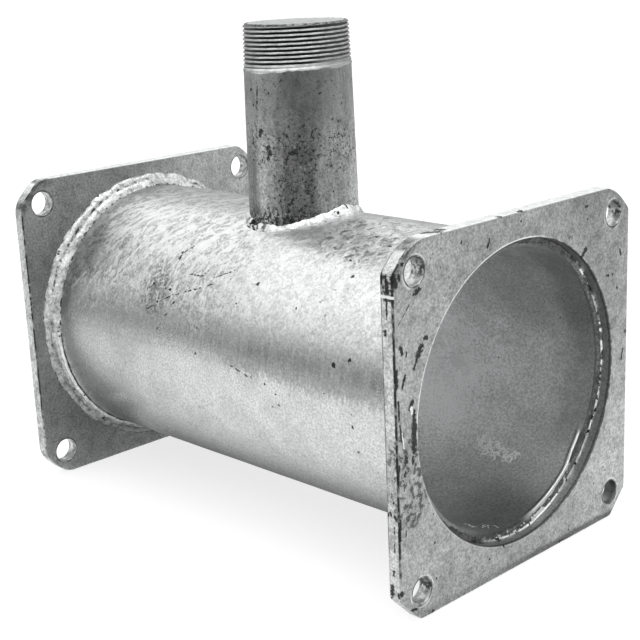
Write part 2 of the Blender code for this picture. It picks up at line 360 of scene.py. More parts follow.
RUN_TONGUES = (                      # pale tongues of zinc, in the same way
    (-0.036, 51, -0.021, 68, 0.0042), (-0.118, 62, -0.105, 70, 0.0020), (-0.123, 52, -0.117, 56, 0.0016),
    (-0.066, 45, -0.059, 49, 0.0015), (-0.080, 57, -0.076, 58, 0.0046), (-0.056, 60, -0.052, 60, 0.0046),
    (-0.073, 66, -0.068, 68, 0.0030), (-0.100, 60, -0.086, 68, 0.0026), (-0.044, 66, -0.030, 78, 0.0026),
    (-0.123, 15, -0.111, 30, 0.0016), (-0.116, 14, -0.100, 34, 0.0015), (-0.109, 15, -0.087, 34, 0.0015),
    (-0.132, 21, -0.123, 29, 0.0016), (-0.098, 30, -0.097, 32, 0.0024), (-0.099, 38, -0.0985, 41, 0.0024),
    (-0.074, 41, -0.074, 43, 0.0020), (-0.090, 36, -0.084, 46, 0.0018), (-0.068, 50, -0.058, 58, 0.0022),
)
DULL_PATCH = (-0.053, 29, 0.028)     # a mottled patch: along the pipe, degrees round it, and width


def on_run(along, degrees):
    """A place on the outside of the run pipe."""
    angle = math.radians(degrees)
    return (along, -run_radius * math.cos(angle), axis_height + run_radius * math.sin(angle))


coat = Finish("zinc_run_outside", 0.84)
up = coat.less(coat.z, axis_height)
high = coat.maths("DIVIDE", up, run_radius)
round_way = coat.both(coat.maths("ARCTAN2", up, coat.both(coat.y, -1.0)), run_radius)
unrolled = coat.add("ShaderNodeCombineXYZ", {0: coat.x, 1: round_way})


def flame_field(length, width, lean, swirl_size, swirl, detail):
    """Strokes of uneven tone that lean from the pipe's length and bend aside."""
    bent = coat.bend(unrolled, swirl_size, swirl, 1.0)
    leaning = coat.add("ShaderNodeMapping", {"Vector": bent, "Rotation": (0.0, 0.0, -lean)})
    stretched = coat.add("ShaderNodeMapping", {"Vector": leaning, "Scale": (1.0 / length, 1.0 / width, 1.0)})
    return coat.clouds(1.0, detail, 0.55, 0.0, stretched)


patchy = coat.clouds(0.018, 3.0, 0.6)
curls = coat.clouds(0.0038, 3.0, 0.65, 1.2)
grain = coat.clouds(0.0013, 3.0, 0.8)
ragged = coat.clouds(0.0012, 2.0)
torn = coat.clouds(0.0022, 3.0, 0.7)
flames = flame_field(0.0085, 0.0030, FLAME_LEAN, 0.012, 0.012, 1.5)
drips = flame_field(0.0060, 0.0024, DRIP_LEAN, 0.009, 0.010, 1.5)
tongues = flame_field(0.028, 0.0062, FLAME_LEAN, 0.022, 0.024, 3.0)
uneven_high = coat.wobble(high, patchy, 0.5)
back = coat.levels(uneven_high, 0.52, 0.80)
shoulder = coat.levels(uneven_high, 0.20, 0.46)
rear_half = coat.frayed(coat.x, patchy, 0.06, 0.030, -0.015)
flaming = coat.most([
    coat.both(back, coat.levels(flames, 0.54, 0.58), 0.75),
    coat.both(back, coat.levels(tongues, 0.56, 0.60), 0.80),
    coat.both(shoulder, coat.levels(drips, 0.55, 0.60), 0.60),
])
hand_laid = [coat.both(tongue, 0.80) for tongue in coat.strokes(on_run, RUN_TONGUES, torn)]
flaming = coat.most([coat.both(flaming, coat.blend(rear_half, 0.30, 1.0))] + hand_laid)
dull_place = on_run(*DULL_PATCH[:2])
dull_patch = coat.stroke(dull_place, on_run(DULL_PATCH[0] + 0.001, DULL_PATCH[1]), DULL_PATCH[2], patchy)
fine = coat.levels(grain, 0.36, 0.64)
white_half = coat.both(shoulder, coat.off(rear_half))
grey = coat.blend(fine, coat.blend(white_half, 0.60, 0.74), coat.blend(white_half, 0.92, 0.99))
upper_tone = coat.blend(rear_half, 1.02, 0.91)
grey = coat.toned(grey, shoulder, upper_tone)
chips = coat.patches(0.46, 0.55, 0.0062, 4.0, 0.7, 0.8)
grey = coat.toned(grey, coat.both(shoulder, rear_half), coat.blend(chips, 1.10, 0.84))
curl_depth = coat.blend(rear_half, 0.78, 0.70)
curly = coat.blend(coat.levels(curls, 0.44, 0.62), 1.04, curl_depth)
grey = coat.toned(grey, shoulder, curly)
grey = coat.both(grey, coat.levels(patchy, 0.32, 0.68, 1.04, 0.92))
speckled = coat.patches(0.44, 0.58, 0.0022, 3.0, 0.7)
grey = coat.toned(grey, dull_patch, coat.blend(speckled, 0.88, 0.42))
grey = coat.blend(coat.both(flaming, 0.95), grey, 0.99)
dross_place = (0.070, run_radius * math.radians(76), 0.0)
from_dross = coat.add("ShaderNodeVectorMath", {0: unrolled, 1: dross_place}, "Value", operation="DISTANCE")
in_dross = coat.frayed(from_dross, patchy, 0.03, 0.036, 0.020)
vein_noise = coat.clouds(0.0056, 4.0, 0.68, 1.0)
veins = coat.levels(vein_noise, 0.46, 0.40)
grey = coat.toned(grey, coat.both(in_dross, veins), 0.48)
grey = coat.toned(grey, in_dross, coat.levels(vein_noise, 0.50, 0.56, 0.90, 1.22))
# Painted shade on the pipe's upper half next to the rear flange, and along its very top, a little deeper
# towards the rear. Below, the pipe is a little darker all along.
shade_end = coat.levels(coat.far(high, 0.62), 0.02, 0.28, -0.117, -0.132)
past_shade = coat.wobble(coat.less(coat.x, shade_end), torn, 0.010)
rear_painted_shade = coat.both(coat.levels(past_shade, -0.005, 0.005, 0.62, 1.0),
                       coat.frayed(coat.x, torn, 0.012, -0.139, -0.129, 0.78, 1.0))
top_painted_shade = coat.levels(high, 0.93, 0.99, 1.0, coat.levels(coat.x, -0.01, 0.03, 0.68, 0.80))
grey = coat.both(grey, coat.blend(coat.levels(high, 0.05, 0.20), 0.92, rear_painted_shade), top_painted_shade)
# Painted shade: the lower half is darker towards the rear end.
lower_rear_shade = coat.both(coat.levels(high, 0.20, 0.05), coat.levels(coat.x, 0.01, -0.10))
grey = coat.toned(grey, lower_rear_shade, 0.76)
runs_place = coat.add("ShaderNodeMapping", {"Vector": unrolled, "Scale": (1 / 0.0022, 1 / 0.014, 1.0)})
runs = coat.clouds(1.0, 3.0, 0.6, 0.0, runs_place)
run_reach = coat.frayed(coat.x, patchy, 0.04, -0.06, 0.0, 0.08, 0.30)
# Painted dark band along the pipe's sides, a little above the axis, which deepens the studio wall's dark
# reflection there. Zinc runs break up its lower edge, and it is deeper towards the front.
painted_dark_band = coat.both(coat.frayed(high, runs, run_reach, 0.07, 0.11), coat.levels(high, 0.50, 0.24))
painted_band_tone = coat.levels(coat.x, -0.02, 0.04, 0.88, 0.70)
painted_band_tone = coat.both(painted_band_tone, coat.blend(run_reach, 1.0, coat.levels(runs, 0.38, 0.62, 0.65, 1.35)))
grey = coat.toned(grey, painted_dark_band, painted_band_tone)
# Painted shade: the pipe is darker towards its bottom, with a ragged edge.
underside_shade = coat.frayed(high, drips, 0.30, -0.95, -0.50, 0.55, 1.0)
grey = coat.both(grey, underside_shade)
broken = coat.patches(0.42, 0.52, 0.0024, 1.0)
marks = coat.strokes(on_run, [(x - 0.0002, a, x + 0.0002, a, size) for x, a, size in RUN_PIT_MARKS], ragged)
marks += [coat.both(scratch, broken) for scratch in coat.strokes(on_run, RUN_SCRATCHES, ragged)]
marks.append(coat.pits(0.011, 0.0008, 0.16))
marks.append(coat.both(coat.patches(0.67, 0.71, 0.0021, 2.0, 0.7), coat.levels(patchy, 0.50, 0.60)))
blemish = coat.most(marks)
grey = coat.blend(coat.both(blemish, 0.94), grey, 0.02)
roughness = coat.blend(shoulder, 0.27, 0.30)
roughness = coat.blend(flaming, roughness, 0.42)
roughness = coat.plus(roughness, coat.levels(patchy, 0.4, 0.7, 0.0, 0.06))
height = coat.both(grain, 0.30)
height = coat.plus(height, coat.both(shoulder, coat.blend(back, drips, flames), 0.9))
height = coat.plus(height, coat.both(in_dross, vein_noise, 1.4))
height = coat.less(height, coat.both(blemish, 0.8))
run_outside = coat.done(grey, roughness, height, 0.00030)

BORE_SCUFFS = (                      # rows of ash crumbs on the bore: from, to, spread, rows and size
    ((0.088, 0.048, 0.037), (0.114, 0.047, 0.036), 0.0026, 56, 0.00046),
    ((0.034, 0.070, 0.068), (0.056, 0.073, 0.074), 0.0065, 50, 0.00044),
    ((0.127, -0.027, 0.026), (0.141, -0.008, 0.021), 0.0010, 8, 0.00024),
)
CRUMBS_IN_ROW = 7
CRUMB_STEP = 0.0007                  # from one crumb of a row to the next
CRUMB_SPREAD = (0.6, 1.3)            # of their sizes
ASH_SLOT = 2

dull = Finish("zinc_run_bore", 0.62)
grain = dull.clouds(0.0014, 3.0, 0.8)
cloud = dull.clouds(0.022, 4.0, 0.6)
fine = dull.levels(grain, 0.34, 0.66)
grey = dull.blend(fine, 0.58, 1.0)
grey = dull.both(grey, dull.levels(cloud, 0.32, 0.68, 1.04, 0.88))
# Painted shade in the bore: darker at its bottom and at its top.
uneven_z = dull.wobble(dull.z, cloud, 0.02)
grey = dull.both(grey, dull.levels(uneven_z, 0.022, 0.048, 0.66, 1.0),
                 dull.levels(uneven_z, 0.085, 0.125, 1.0, 0.76))
grey = dull.both(grey, dull.frayed(dull.x, cloud, 0.04, 0.11, 0.04, 0.94, 1.36))
wrinkles = dull.levels(dull.far(dull.clouds(0.0042, 4.0, 0.65, 1.0), 0.5), 0.030, 0.012)
mottled = dull.both(0.45, dull.levels(dull.x, 0.075, 0.045), dull.patches(0.45, 0.58, 0.020, 2.0))
grey = dull.blend(dull.both(mottled, wrinkles, 0.9), grey, 1.0)
# Painted shade low in the bore near its front end, and on the pipe's narrow end face under the seal weld.
end_shade = dull.both(dull.levels(dull.z, 0.031, 0.020), dull.levels(dull.x, 0.09, 0.135))
grey = dull.toned(grey, end_shade, 0.42)
grey = dull.both(grey, dull.levels(dull.x, run_end - 0.0004, run_end - 0.0001, 1.0, 0.45))
front_right = dull.both(dull.frayed(dull.x, cloud, 0.02, 0.114, 0.142), dull.levels(dull.y, 0.015, 0.045),
                        dull.levels(dull.z, 0.035, 0.060))
grey = dull.toned(grey, front_right, 0.58)
# Painted highlight along the burnt-through ridge low on the +Y side of the bore, with painted shade on either
# side of it.
low_side = dull.both(dull.levels(dull.y, *LIP_RIDGE_SIDE), dull.levels(dull.z, *LIP_RIDGE_TOP))
line_x = dull.levels(dull.z, *LIP_RIDGE_CLIMB, run_end - LIP_RIDGE_BEHIND[0], run_end - LIP_RIDGE_BEHIND[1])
past_line = dull.less(dull.x, line_x)
beside_ridge_shade = dull.levels(dull.far(past_line, 0.0), 0.0030, 0.0012)
grey = dull.toned(grey, dull.both(low_side, beside_ridge_shade), 0.30)
ridge_highlight = dull.both(low_side, dull.near(past_line, 0.0, 0.0007, 0.0011))
grey = dull.blend(ridge_highlight, grey, 1.0)
grey = dull.blend(dull.pits(0.009, 0.0007, 0.12), grey, 0.12)
roughness = dull.blend(dull.levels(cloud, 0.3, 0.7), 0.42, 0.54)
roughness = dull.blend(ridge_highlight, roughness, 0.22)
height = dull.plus(grain, dull.both(mottled, wrinkles, 2.5))
run_bore = dull.done(grey, roughness, height, 0.00020)

ash = Finish("zinc_ash", 0.0)
grain = ash.clouds(0.0009, 3.0, 0.8)
fine = ash.levels(grain, 0.36, 0.64)
zinc_ash = ash.done(ash.blend(fine, 0.84, 0.99), ash.blend(fine, 0.50, 0.64), grain, 0.00010)

run_piece.data.materials.clear()
for finish in (run_outside, run_bore, zinc_ash):
    run_piece.data.materials.append(finish)
between_walls = run_radius - RUN_WALL / 2
for face in run_piece.data.polygons:
    from_axis = math.hypot(face.center.y, face.center.z - axis_height)
    face.material_index = int(from_axis < between_walls)

draws = np.random.default_rng(7)
crumbed = bmesh.new()
crumbed.from_mesh(run_piece.data)
pipe_faces = len(crumbed.faces)
for start, end, spread, rows, crumb_radius in BORE_SCUFFS:
    turns = [math.atan2(z - axis_height, y) for x, y, z in (start, end)]
    for _ in range(rows):
        share = draws.random()
        x = start[0] + share * (end[0] - start[0]) + draws.normal(0.0, spread)
        turn = turns[0] + share * (turns[1] - turns[0]) + draws.normal(0.0, spread) / run_bore_radius
        heading = draws.uniform(0.0, math.tau)
        for _ in range(CRUMBS_IN_ROW):
            heading += draws.normal(0.0, 0.6)
            x += CRUMB_STEP * math.cos(heading)
            turn += CRUMB_STEP * math.sin(heading) / run_bore_radius
            place = (x, run_bore_radius * math.cos(turn), axis_height + run_bore_radius * math.sin(turn))
            bmesh.ops.create_icosphere(crumbed, subdivisions=1,
                                       radius=crumb_radius * draws.uniform(*CRUMB_SPREAD),
                                       matrix=Matrix.Translation(place))
for face in list(crumbed.faces)[pipe_faces:]:
    face.smooth = True
    face.material_index = ASH_SLOT
crumbed.to_mesh(run_piece.data)
crumbed.free()
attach(run_piece, "root")
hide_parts("run_pipe")


# Flanges: two square plates of 8 mm steel with their corners sheared off and eased, bored to take the
# run pipe's end and drilled for four bolts. The zinc hangs in thick and thin places on them, and in the
# front plate's bolt holes.
PLATE_CORNER_CUT = 0.014             # each corner is sheared off this far from its point, both ways
CORNER_EASINGS = {                   # radius to which a cut's ends are dressed, and its end at the top edge
    "front": (0.004, 0.028), "rear": (0.016, 0.016),
}
PLATE_BORE_CLEARANCE = 0.0005
PLATE_EDGE_ROUNDING = 0.0008
BOLT_HOLE_RADIUS = 0.0073            # drilled 15 mm across, less its zinc
FRONT_HOLE_ZINC = 0.0006             # more of it in the front plate's holes
BOLT_HOLE_INSET = 0.015
BOLT_HOLE_ROUNDING = 0.0004
BOLT_HOLE_STEPS = 48
PLATE_STEPS_ROUND = 720
PLATE_FACE_STEPS = 26
PLATE_EDGE_STEPS = 7
PLATE_EDGE_DRIP = 0.00030            # depth of the thin places along the edges
PLATE_DRIP_SIZE = 0.009
PLATE_FACE_WAVE = 0.00010
PLATE_WAVE_SIZE = 0.016
EDGE_DRIP_HEIGHT = 0.1655            # of a thin drip that crosses the -Y edges
EDGE_DRIP_WIDTH = 0.0006
EDGE_DRIP_DEPTH = 0.00015            # by which the rest of those edges lies back from it

plate_low, plate_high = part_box("flange_front")
plate_half = (plate_high.y - plate_low.y) / 2
plate_thick = plate_high.x - plate_low.x
plate_bore_radius = run_radius + PLATE_BORE_CLEARANCE
bolt_offset = plate_half - BOLT_HOLE_INSET
cut_limit = 2 * plate_half - PLATE_CORNER_CUT        # on the cuts, the distances out and up add up to it


def plate_reach(angle, corner_easing, inset):
    """Distance from the centre to the plate's outline, moved in by inset."""
    longer = np.maximum(np.abs(np.cos(angle)), np.abs(np.sin(angle)))
    shorter = np.minimum(np.abs(np.cos(angle)), np.abs(np.sin(angle)))
    corner_easing = np.where(np.sin(angle) > np.abs(np.cos(angle)), corner_easing[1], corner_easing[0])
    easing = corner_easing - inset
    centre_across = plate_half - corner_easing
    centre_up = plate_half - PLATE_CORNER_CUT - corner_easing * (math.sqrt(2) - 1)
    side = (plate_half - inset) / longer
    cut = (cut_limit - math.sqrt(2) * inset) / (longer + shorter)
    towards = centre_across * longer + centre_up * shorter
    reach = towards ** 2 - centre_across ** 2 - centre_up ** 2 + easing ** 2
    eased = towards + np.sqrt(np.maximum(reach, 0.0))
    turn = np.arctan2(shorter, longer)
    side_ends = np.arctan2(centre_up, plate_half - inset)
    cut_begins = np.arctan2(centre_up + easing / math.sqrt(2), centre_across + easing / math.sqrt(2))
    return np.where(turn < side_ends, side, np.where(turn < cut_begins, eased, cut))


def plate_rings(angle, corner_easing):
    """Sections of the plate at each angle: (depth from the outer face, radius) round a closed loop."""
    rounding = PLATE_EDGE_ROUNDING
    bore = plate_bore_radius
    rim = plate_reach(angle, corner_easing, rounding)
    loop = []
    for share in np.linspace(0.0, 1.0, PLATE_FACE_STEPS):
        loop.append((0.0, bore + rounding + share * (rim - bore - rounding)))
    for turn in np.radians([22.5, 45.0, 67.5]):
        inset = rounding * (1 - math.sin(turn))
        loop.append((rounding * (1 - math.cos(turn)), plate_reach(angle, corner_easing, inset)))
    for depth in np.linspace(rounding, plate_thick - rounding, PLATE_EDGE_STEPS):
        loop.append((depth, plate_reach(angle, corner_easing, 0.0)))
    for turn in np.radians([67.5, 45.0, 22.5]):
        inset = rounding * (1 - math.sin(turn))
        loop.append((plate_thick - rounding * (1 - math.cos(turn)), plate_reach(angle, corner_easing, inset)))
    for share in np.linspace(1.0, 0.0, PLATE_FACE_STEPS):
        loop.append((plate_thick, bore + rounding + share * (rim - bore - rounding)))
    for turn in np.radians([30.0, 60.0]):
        loop.append((plate_thick - rounding * (1 - math.cos(turn)), bore + rounding * (1 - math.sin(turn))))
    for depth in np.linspace(plate_thick - rounding, rounding, PLATE_EDGE_STEPS):
        loop.append((depth, bore + 0.0 * angle))
    for turn in np.radians([60.0, 30.0]):
        loop.append((rounding * (1 - math.cos(turn)), bore + rounding * (1 - math.sin(turn))))
    depths = np.array([depth for depth, radius in loop])[None, :]
    radii = np.stack([np.broadcast_to(radius, angle.shape) for depth, radius in loop], axis=-1)
    return np.broadcast_to(depths, radii.shape), radii


def plate_piece(end, side, seed):
    angle = np.linspace(0.0, math.tau, PLATE_STEPS_ROUND, endpoint=False)
    depth, radius = plate_rings(angle, CORNER_EASINGS[end])

    def points(depth, radius):
        x = side * (plate_high.x - depth)
        y = radius * np.cos(angle)[:, None]
        z = axis_height + radius * np.sin(angle)[:, None]
        return np.stack([x, y, z], axis=-1)

    plain = points(depth, radius)
    wave = PLATE_FACE_WAVE * (0.5 + 0.5 * bumps(plain, PLATE_WAVE_SIZE, seed))
    outward = np.where(depth < plate_thick / 2, 1.0, -1.0)
    drip = PLATE_EDGE_DRIP * (0.5 + 0.5 * bumps(plain, PLATE_DRIP_SIZE, seed + 1))
    edge_reach = plate_reach(angle, CORNER_EASINGS[end], 0.0004)[:, None]
    on_edge = ease(radius, plate_bore_radius + 0.010, plate_half) * (radius >= edge_reach)
    on_minus_y = plain[..., 1] < 0
    drip_line = np.exp(-((plain[..., 2] - EDGE_DRIP_HEIGHT) / EDGE_DRIP_WIDTH) ** 2) * on_minus_y
    drip = drip + EDGE_DRIP_DEPTH * on_minus_y - (drip + EDGE_DRIP_DEPTH) * drip_line
    piece = skin(f"galvanised_flange_{end}", points(depth + outward * wave, radius - drip * on_edge))
    flare = BOLT_HOLE_ROUNDING
    hole = BOLT_HOLE_RADIUS - (FRONT_HOLE_ZINC if side > 0 else 0.0)
    hole_outline = [
        (0.0, -plate_thick), (hole + flare, -plate_thick), (hole + flare, -plate_thick / 2),
        (hole + 0.4 * flare, -plate_thick / 2 + 0.3 * flare), (hole, -plate_thick / 2 + flare),
        (hole, plate_thick / 2 - flare), (hole + 0.4 * flare, plate_thick / 2 - 0.3 * flare),
        (hole + flare, plate_thick / 2), (hole + flare, plate_thick), (0.0, plate_thick),
    ]
    mid = side * (plate_high.x - plate_thick / 2)
    centres = [(mid, y * bolt_offset, axis_height + z * bolt_offset) for y in (-1, 1) for z in (-1, 1)]
    cut_away(piece, [turned("bolt_hole", hole_outline, at, (1, 0, 0), BOLT_HOLE_STEPS) for at in centres])
    return piece


PLATE_MARKS = (                      # dark gouges and drips on the front face: y, height, y, height, width
    (-0.077, 0.166, -0.0788, 0.1650, 0.0026), (-0.079, 0.165, -0.081, 0.1642, 0.0012),
    (-0.084, 0.160, -0.092, 0.152, 0.0006), (-0.072, 0.142, -0.074, 0.142, 0.0018),
    (-0.076, 0.139, -0.079, 0.135, 0.0030), (-0.079, 0.135, -0.082, 0.129, 0.0016),
    (-0.091, 0.141, -0.090, 0.138, 0.0018), (-0.088, 0.127, -0.090, 0.122, 0.0018),
    (-0.094, 0.131, -0.094, 0.123, 0.0020), (-0.093, 0.116, -0.093, 0.106, 0.0015),
    (-0.0825, 0.108, -0.0828, 0.099, 0.0030), (-0.0825, 0.100, -0.0830, 0.089, 0.0034),
    (-0.0835, 0.1135, -0.0850, 0.110, 0.0028), (-0.0925, 0.104, -0.0915, 0.096, 0.0014),
    (-0.0890, 0.0870, -0.0890, 0.0850, 0.0030), (-0.0840, 0.0860, -0.0840, 0.0830, 0.0018),
    (-0.0895, 0.0800, -0.0900, 0.0780, 0.0016), (-0.092, 0.008, -0.084, 0.007, 0.0018),
    (-0.072, 0.001, -0.0725, 0.0015, 0.0018), (-0.094, 0.019, -0.0945, 0.018, 0.0022),
    (-0.0865, 0.138, -0.0870, 0.136, 0.0012), (-0.0900, 0.0500, -0.0905, 0.048, 0.0012),
    (-0.0938, 0.176, -0.0930, 0.171, 0.0030), (-0.0905, 0.175, -0.0905, 0.1735, 0.0024),
    (-0.088, 0.180, -0.088, 0.1795, 0.0018), (0.074, 0.142, 0.076, 0.1415, 0.0014),
    (0.080, 0.142, 0.080, 0.1415, 0.0014), (0.084, 0.134, 0.0845, 0.133, 0.0014),
    (0.091, 0.097, 0.090, 0.091, 0.0015), (0.093, 0.107, 0.093, 0.1065, 0.0015),
    (-0.027, 0.176, -0.025, 0.180, 0.0013), (-0.046, 0.183, -0.046, 0.1825, 0.0015),
    (-0.094, 0.084, -0.0945, 0.076, 0.0015), (-0.094, 0.057, -0.0945, 0.047, 0.0015),
    (0.054, 0.183, 0.056, 0.183, 0.0015), (0.087, 0.154, 0.088, 0.151, 0.0016),
    (0.0515, 0.1565, 0.055, 0.160, 0.0028), (-0.017, 0.020, -0.016, 0.0165, 0.0020),
    (-0.028, 0.013, -0.028, 0.0125, 0.0014), (0.032, 0.0015, 0.036, 0.0015, 0.0010),
)
PLATE_GLINTS = (                     # painted glints beside them
    (-0.0842, 0.1105, -0.0842, 0.108, 0.0018), (-0.0908, 0.100, -0.0905, 0.092, 0.0010),
    (-0.0800, 0.104, -0.0805, 0.092, 0.0012),
)
EDGE_MARKS = (                       # dark ticks on the front plate's -Y edge: x, height, x, height, width
    (0.1505, 0.030, 0.1505, 0.0275, 0.0018), (0.1492, 0.021, 0.1487, 0.0165, 0.0024),
    (0.1482, 0.0145, 0.1482, 0.014, 0.0014), (0.1519, 0.053, 0.1517, 0.049, 0.0010),
    (0.1513, 0.044, 0.1512, 0.040, 0.0010), (0.1511, 0.164, 0.1508, 0.155, 0.0013),
    (0.1492, 0.149, 0.1492, 0.147, 0.0018), (0.1467, 0.0580, 0.1476, 0.0578, 0.0018),
    (0.1492, 0.0592, 0.1497, 0.0586, 0.0018), (0.1524, 0.0580, 0.1532, 0.0574, 0.0020),
    (0.1504, 0.0690, 0.1504, 0.0678, 0.0016), (0.1518, 0.0660, 0.1518, 0.0650, 0.0016),
    (0.1475, 0.177, 0.1478, 0.172, 0.0020), (0.1505, 0.1755, 0.1515, 0.168, 0.0022),
    (0.1532, 0.0175, 0.1532, 0.0165, 0.0020), (0.1462, 0.0135, 0.1462, 0.0130, 0.0012),
)
TOP_MARKS = (                        # and on its top edge: x, y, x, y, width
    (0.1480, -0.0660, 0.1525, -0.0600, 0.0046), (0.1470, -0.0580, 0.1510, -0.0555, 0.0040),
    (0.1540, -0.0175, 0.1545, -0.0160, 0.0024), (0.1540, -0.0020, 0.1545, 0.0, 0.0024),
)
MOTTLED_PATCH = (-0.087, 0.090, -0.086, 0.060, 0.020)    # a patch of crust, in the same way as the gouges


def on_face(y, z):
    """A place on the front plate's outer face."""
    return (plate_high.x, y, z)


plate = Finish("zinc_flange", 0.80)
grain = plate.clouds(0.0014, 3.0, 0.8)
cloud = plate.clouds(0.007, 4.0, 0.65, 0.6)
blotch = plate.clouds(0.035, 3.0)
line_noise = plate.clouds(0.005, 3.0)
ragged = plate.clouds(0.0012, 2.0)
fine = plate.levels(grain, 0.36, 0.64)
grey = plate.blend(fine, 0.31, 0.56)
grey = plate.both(grey, plate.levels(cloud, 0.44, 0.66, 1.05, 0.82))
grey = plate.both(grey, plate.levels(blotch, 0.3, 0.7, 0.88, 1.16))
level_here = plate.less(plate.z, axis_height)
aside = plate.maths("ABSOLUTE", plate.y)
above = plate.maths("ABSOLUTE", level_here)
inner_face = plate.levels(plate.maths("ABSOLUTE", plate.x), plate_low.x + 0.0006, plate_low.x + 0.0002)
# Painted light and shade across the plates' inner faces: darker towards -Y, lighter towards +Y.
inner_face_shading = plate.frayed(plate.y, blotch, 0.04, -0.07, 0.06, 0.80, 1.15)
grey = plate.toned(grey, inner_face, inner_face_shading)
centre_offset = plate.add("ShaderNodeCombineXYZ", {0: plate.y, 1: level_here})
from_axis = plate.add("ShaderNodeVectorMath", {0: centre_offset}, "Value", operation="LENGTH")
uneven_axis = plate.wobble(from_axis, line_noise, 0.0010)
bore_lip = plate.levels(uneven_axis, plate_bore_radius + 0.0014, plate_bore_radius + 0.0007)
lip_line = plate.near(from_axis, plate_bore_radius + 0.0005, 0.0002, 0.0004)
bore_wall = plate.levels(from_axis, plate_bore_radius + 0.0005, plate_bore_radius + 0.0002)
# Painted highlight on the rounded edge of the bore, strongest high on its -Y side.
on_left = plate.frayed(plate.y, line_noise, 0.02, 0.030, 0.005)
lip_grey = plate.blend(on_left, plate.blend(fine, 0.55, 0.80), 1.0)
lip_lit = plate.both(on_left, plate.frayed(plate.z, line_noise, 0.02, 0.070, 0.110))
lip_highlight = plate.both(bore_lip, plate.levels(line_noise, 0.30, 0.44), plate.blend(lip_lit, 0.25, 1.0))
grey = plate.blend(lip_highlight, grey, lip_grey)
# Painted shade on the plates' bore walls: dark, and darker still deeper in.
wall_rim = plate.frayed(plate.x, line_noise, 0.0016, plate_high.x - 0.0022, plate_high.x - 0.0010)
bore_wall_shade = plate.both(plate.blend(fine, 0.26, 0.44), plate.blend(wall_rim, 1.0, 0.35))
grey = plate.blend(bore_wall, grey, bore_wall_shade)
# Painted shade: a black line round the bore's edge, away from its -Y side, at the gap round the pipe.
off_left = plate.off(on_left)
grey = plate.blend(plate.both(lip_line, off_left, plate.levels(line_noise, 0.42, 0.54), 0.8), grey, 0.08)
on_front = plate.levels(plate.x, 0.0, 0.01)
low_right = plate.both(plate.frayed(plate.y, blotch, 0.04, 0.0, 0.05), plate.levels(plate.z, 0.12, 0.03))
high_right = plate.both(plate.frayed(plate.y, blotch, 0.04, 0.02, 0.06), plate.levels(plate.z, 0.13, 0.17))
far_left = plate.frayed(plate.y, blotch, 0.02, -0.055, -0.080)
face_tone = plate.both(plate.blend(low_right, 1.0, 1.24), plate.blend(high_right, 1.0, 0.86),
                       plate.blend(far_left, 1.0, 1.10))
foot_band = plate.frayed(level_here, cloud, 0.006, -plate_half + 0.0052, -plate_half + 0.0026)
foot_band = plate.both(foot_band, plate.levels(plate.y, -0.05, 0.04, 0.35, 1.0))
face_tone = plate.both(face_tone, plate.blend(foot_band, 1.0, 0.36))
grey = plate.toned(grey, on_front, face_tone)
from_bolt = plate.add("ShaderNodeCombineXYZ",
                      {0: plate.less(aside, bolt_offset), 1: plate.less(above, bolt_offset)})
from_bolt = plate.add("ShaderNodeVectorMath", {0: from_bolt}, "Value", operation="LENGTH")
hole_here = plate.blend(on_front, BOLT_HOLE_RADIUS, BOLT_HOLE_RADIUS - FRONT_HOLE_ZINC)
off_hole = plate.less(from_bolt, hole_here)
hole_wall = plate.levels(off_hole, 0.0005, 0.0002)
ring = plate.near(off_hole, BOLT_HOLE_ROUNDING + 0.0001, 0.0003, 0.0006)
ring = plate.both(ring, plate.patches(0.38, 0.52, 0.006, 2.0))
hole_cloud = plate.patches(0.44, 0.56, 0.0035, 3.0)
hole_grey = plate.blend(hole_cloud, 0.88, 0.38)
# Painted light and shade in the front plate's bolt holes: each is pale low down and dark high up, and the
# lower +Y one is dark all round.
up_in_hole = plate.both(plate.less(above, bolt_offset), plate.maths("SIGN", level_here))
hole_light_and_shade = plate.blend(plate.frayed(up_in_hole, hole_cloud, 0.004, -0.0035, 0.0015),
                        plate.blend(hole_cloud, 0.98, 0.60), plate.blend(hole_cloud, 0.34, 0.10))
plain_hole = plate.both(plate.levels(plate.y, 0.0, 0.01), plate.levels(level_here, 0.0, -0.01))
hole_light_and_shade = plate.blend(plain_hole, hole_light_and_shade, plate.levels(up_in_hole, -0.0055, 0.0045, 0.34, 0.10))
grey = plate.blend(hole_wall, grey, plate.blend(on_front, hole_grey, hole_light_and_shade))
pale_ring = plate.both(plate.near(off_hole, 0.0015, 0.0003, 0.0006), on_front,
                       plate.patches(0.44, 0.58, 0.008, 2.0))
grey = plate.blend(plate.both(pale_ring, 0.55), grey, 0.98)
grey = plate.blend(plate.both(ring, 0.80), grey, 0.06)
rim_share = plate.levels(plate.most([aside, above]), plate_half - 0.0012, plate_half - 0.0004)
cut_reach = plate.plus(aside, above)
cut_rim = plate.levels(cut_reach, cut_limit - 0.0017, cut_limit - 0.0006)
edge_grey = plate.blend(fine, 0.50, 0.90)
edge_grey = plate.both(edge_grey, plate.levels(cloud, 0.44, 0.66, 1.0, 0.66))
# Painted light: the plates' top edges, which face up, are near white.
lit_top_edge = plate.levels(level_here, plate_half - 0.010, plate_half - 0.003)
edge_grey = plate.blend(lit_top_edge, edge_grey, plate.blend(hole_cloud, 0.99, 0.86))
on_rim = plate.most([rim_share, cut_rim])
grey = plate.blend(on_rim, grey, edge_grey)
edge_face = plate.levels(plate.y, -plate_half + 0.0014, -plate_half + 0.0006)
minus_y_side = plate.both(on_rim, plate.levels(plate.y, -0.070, -0.078))
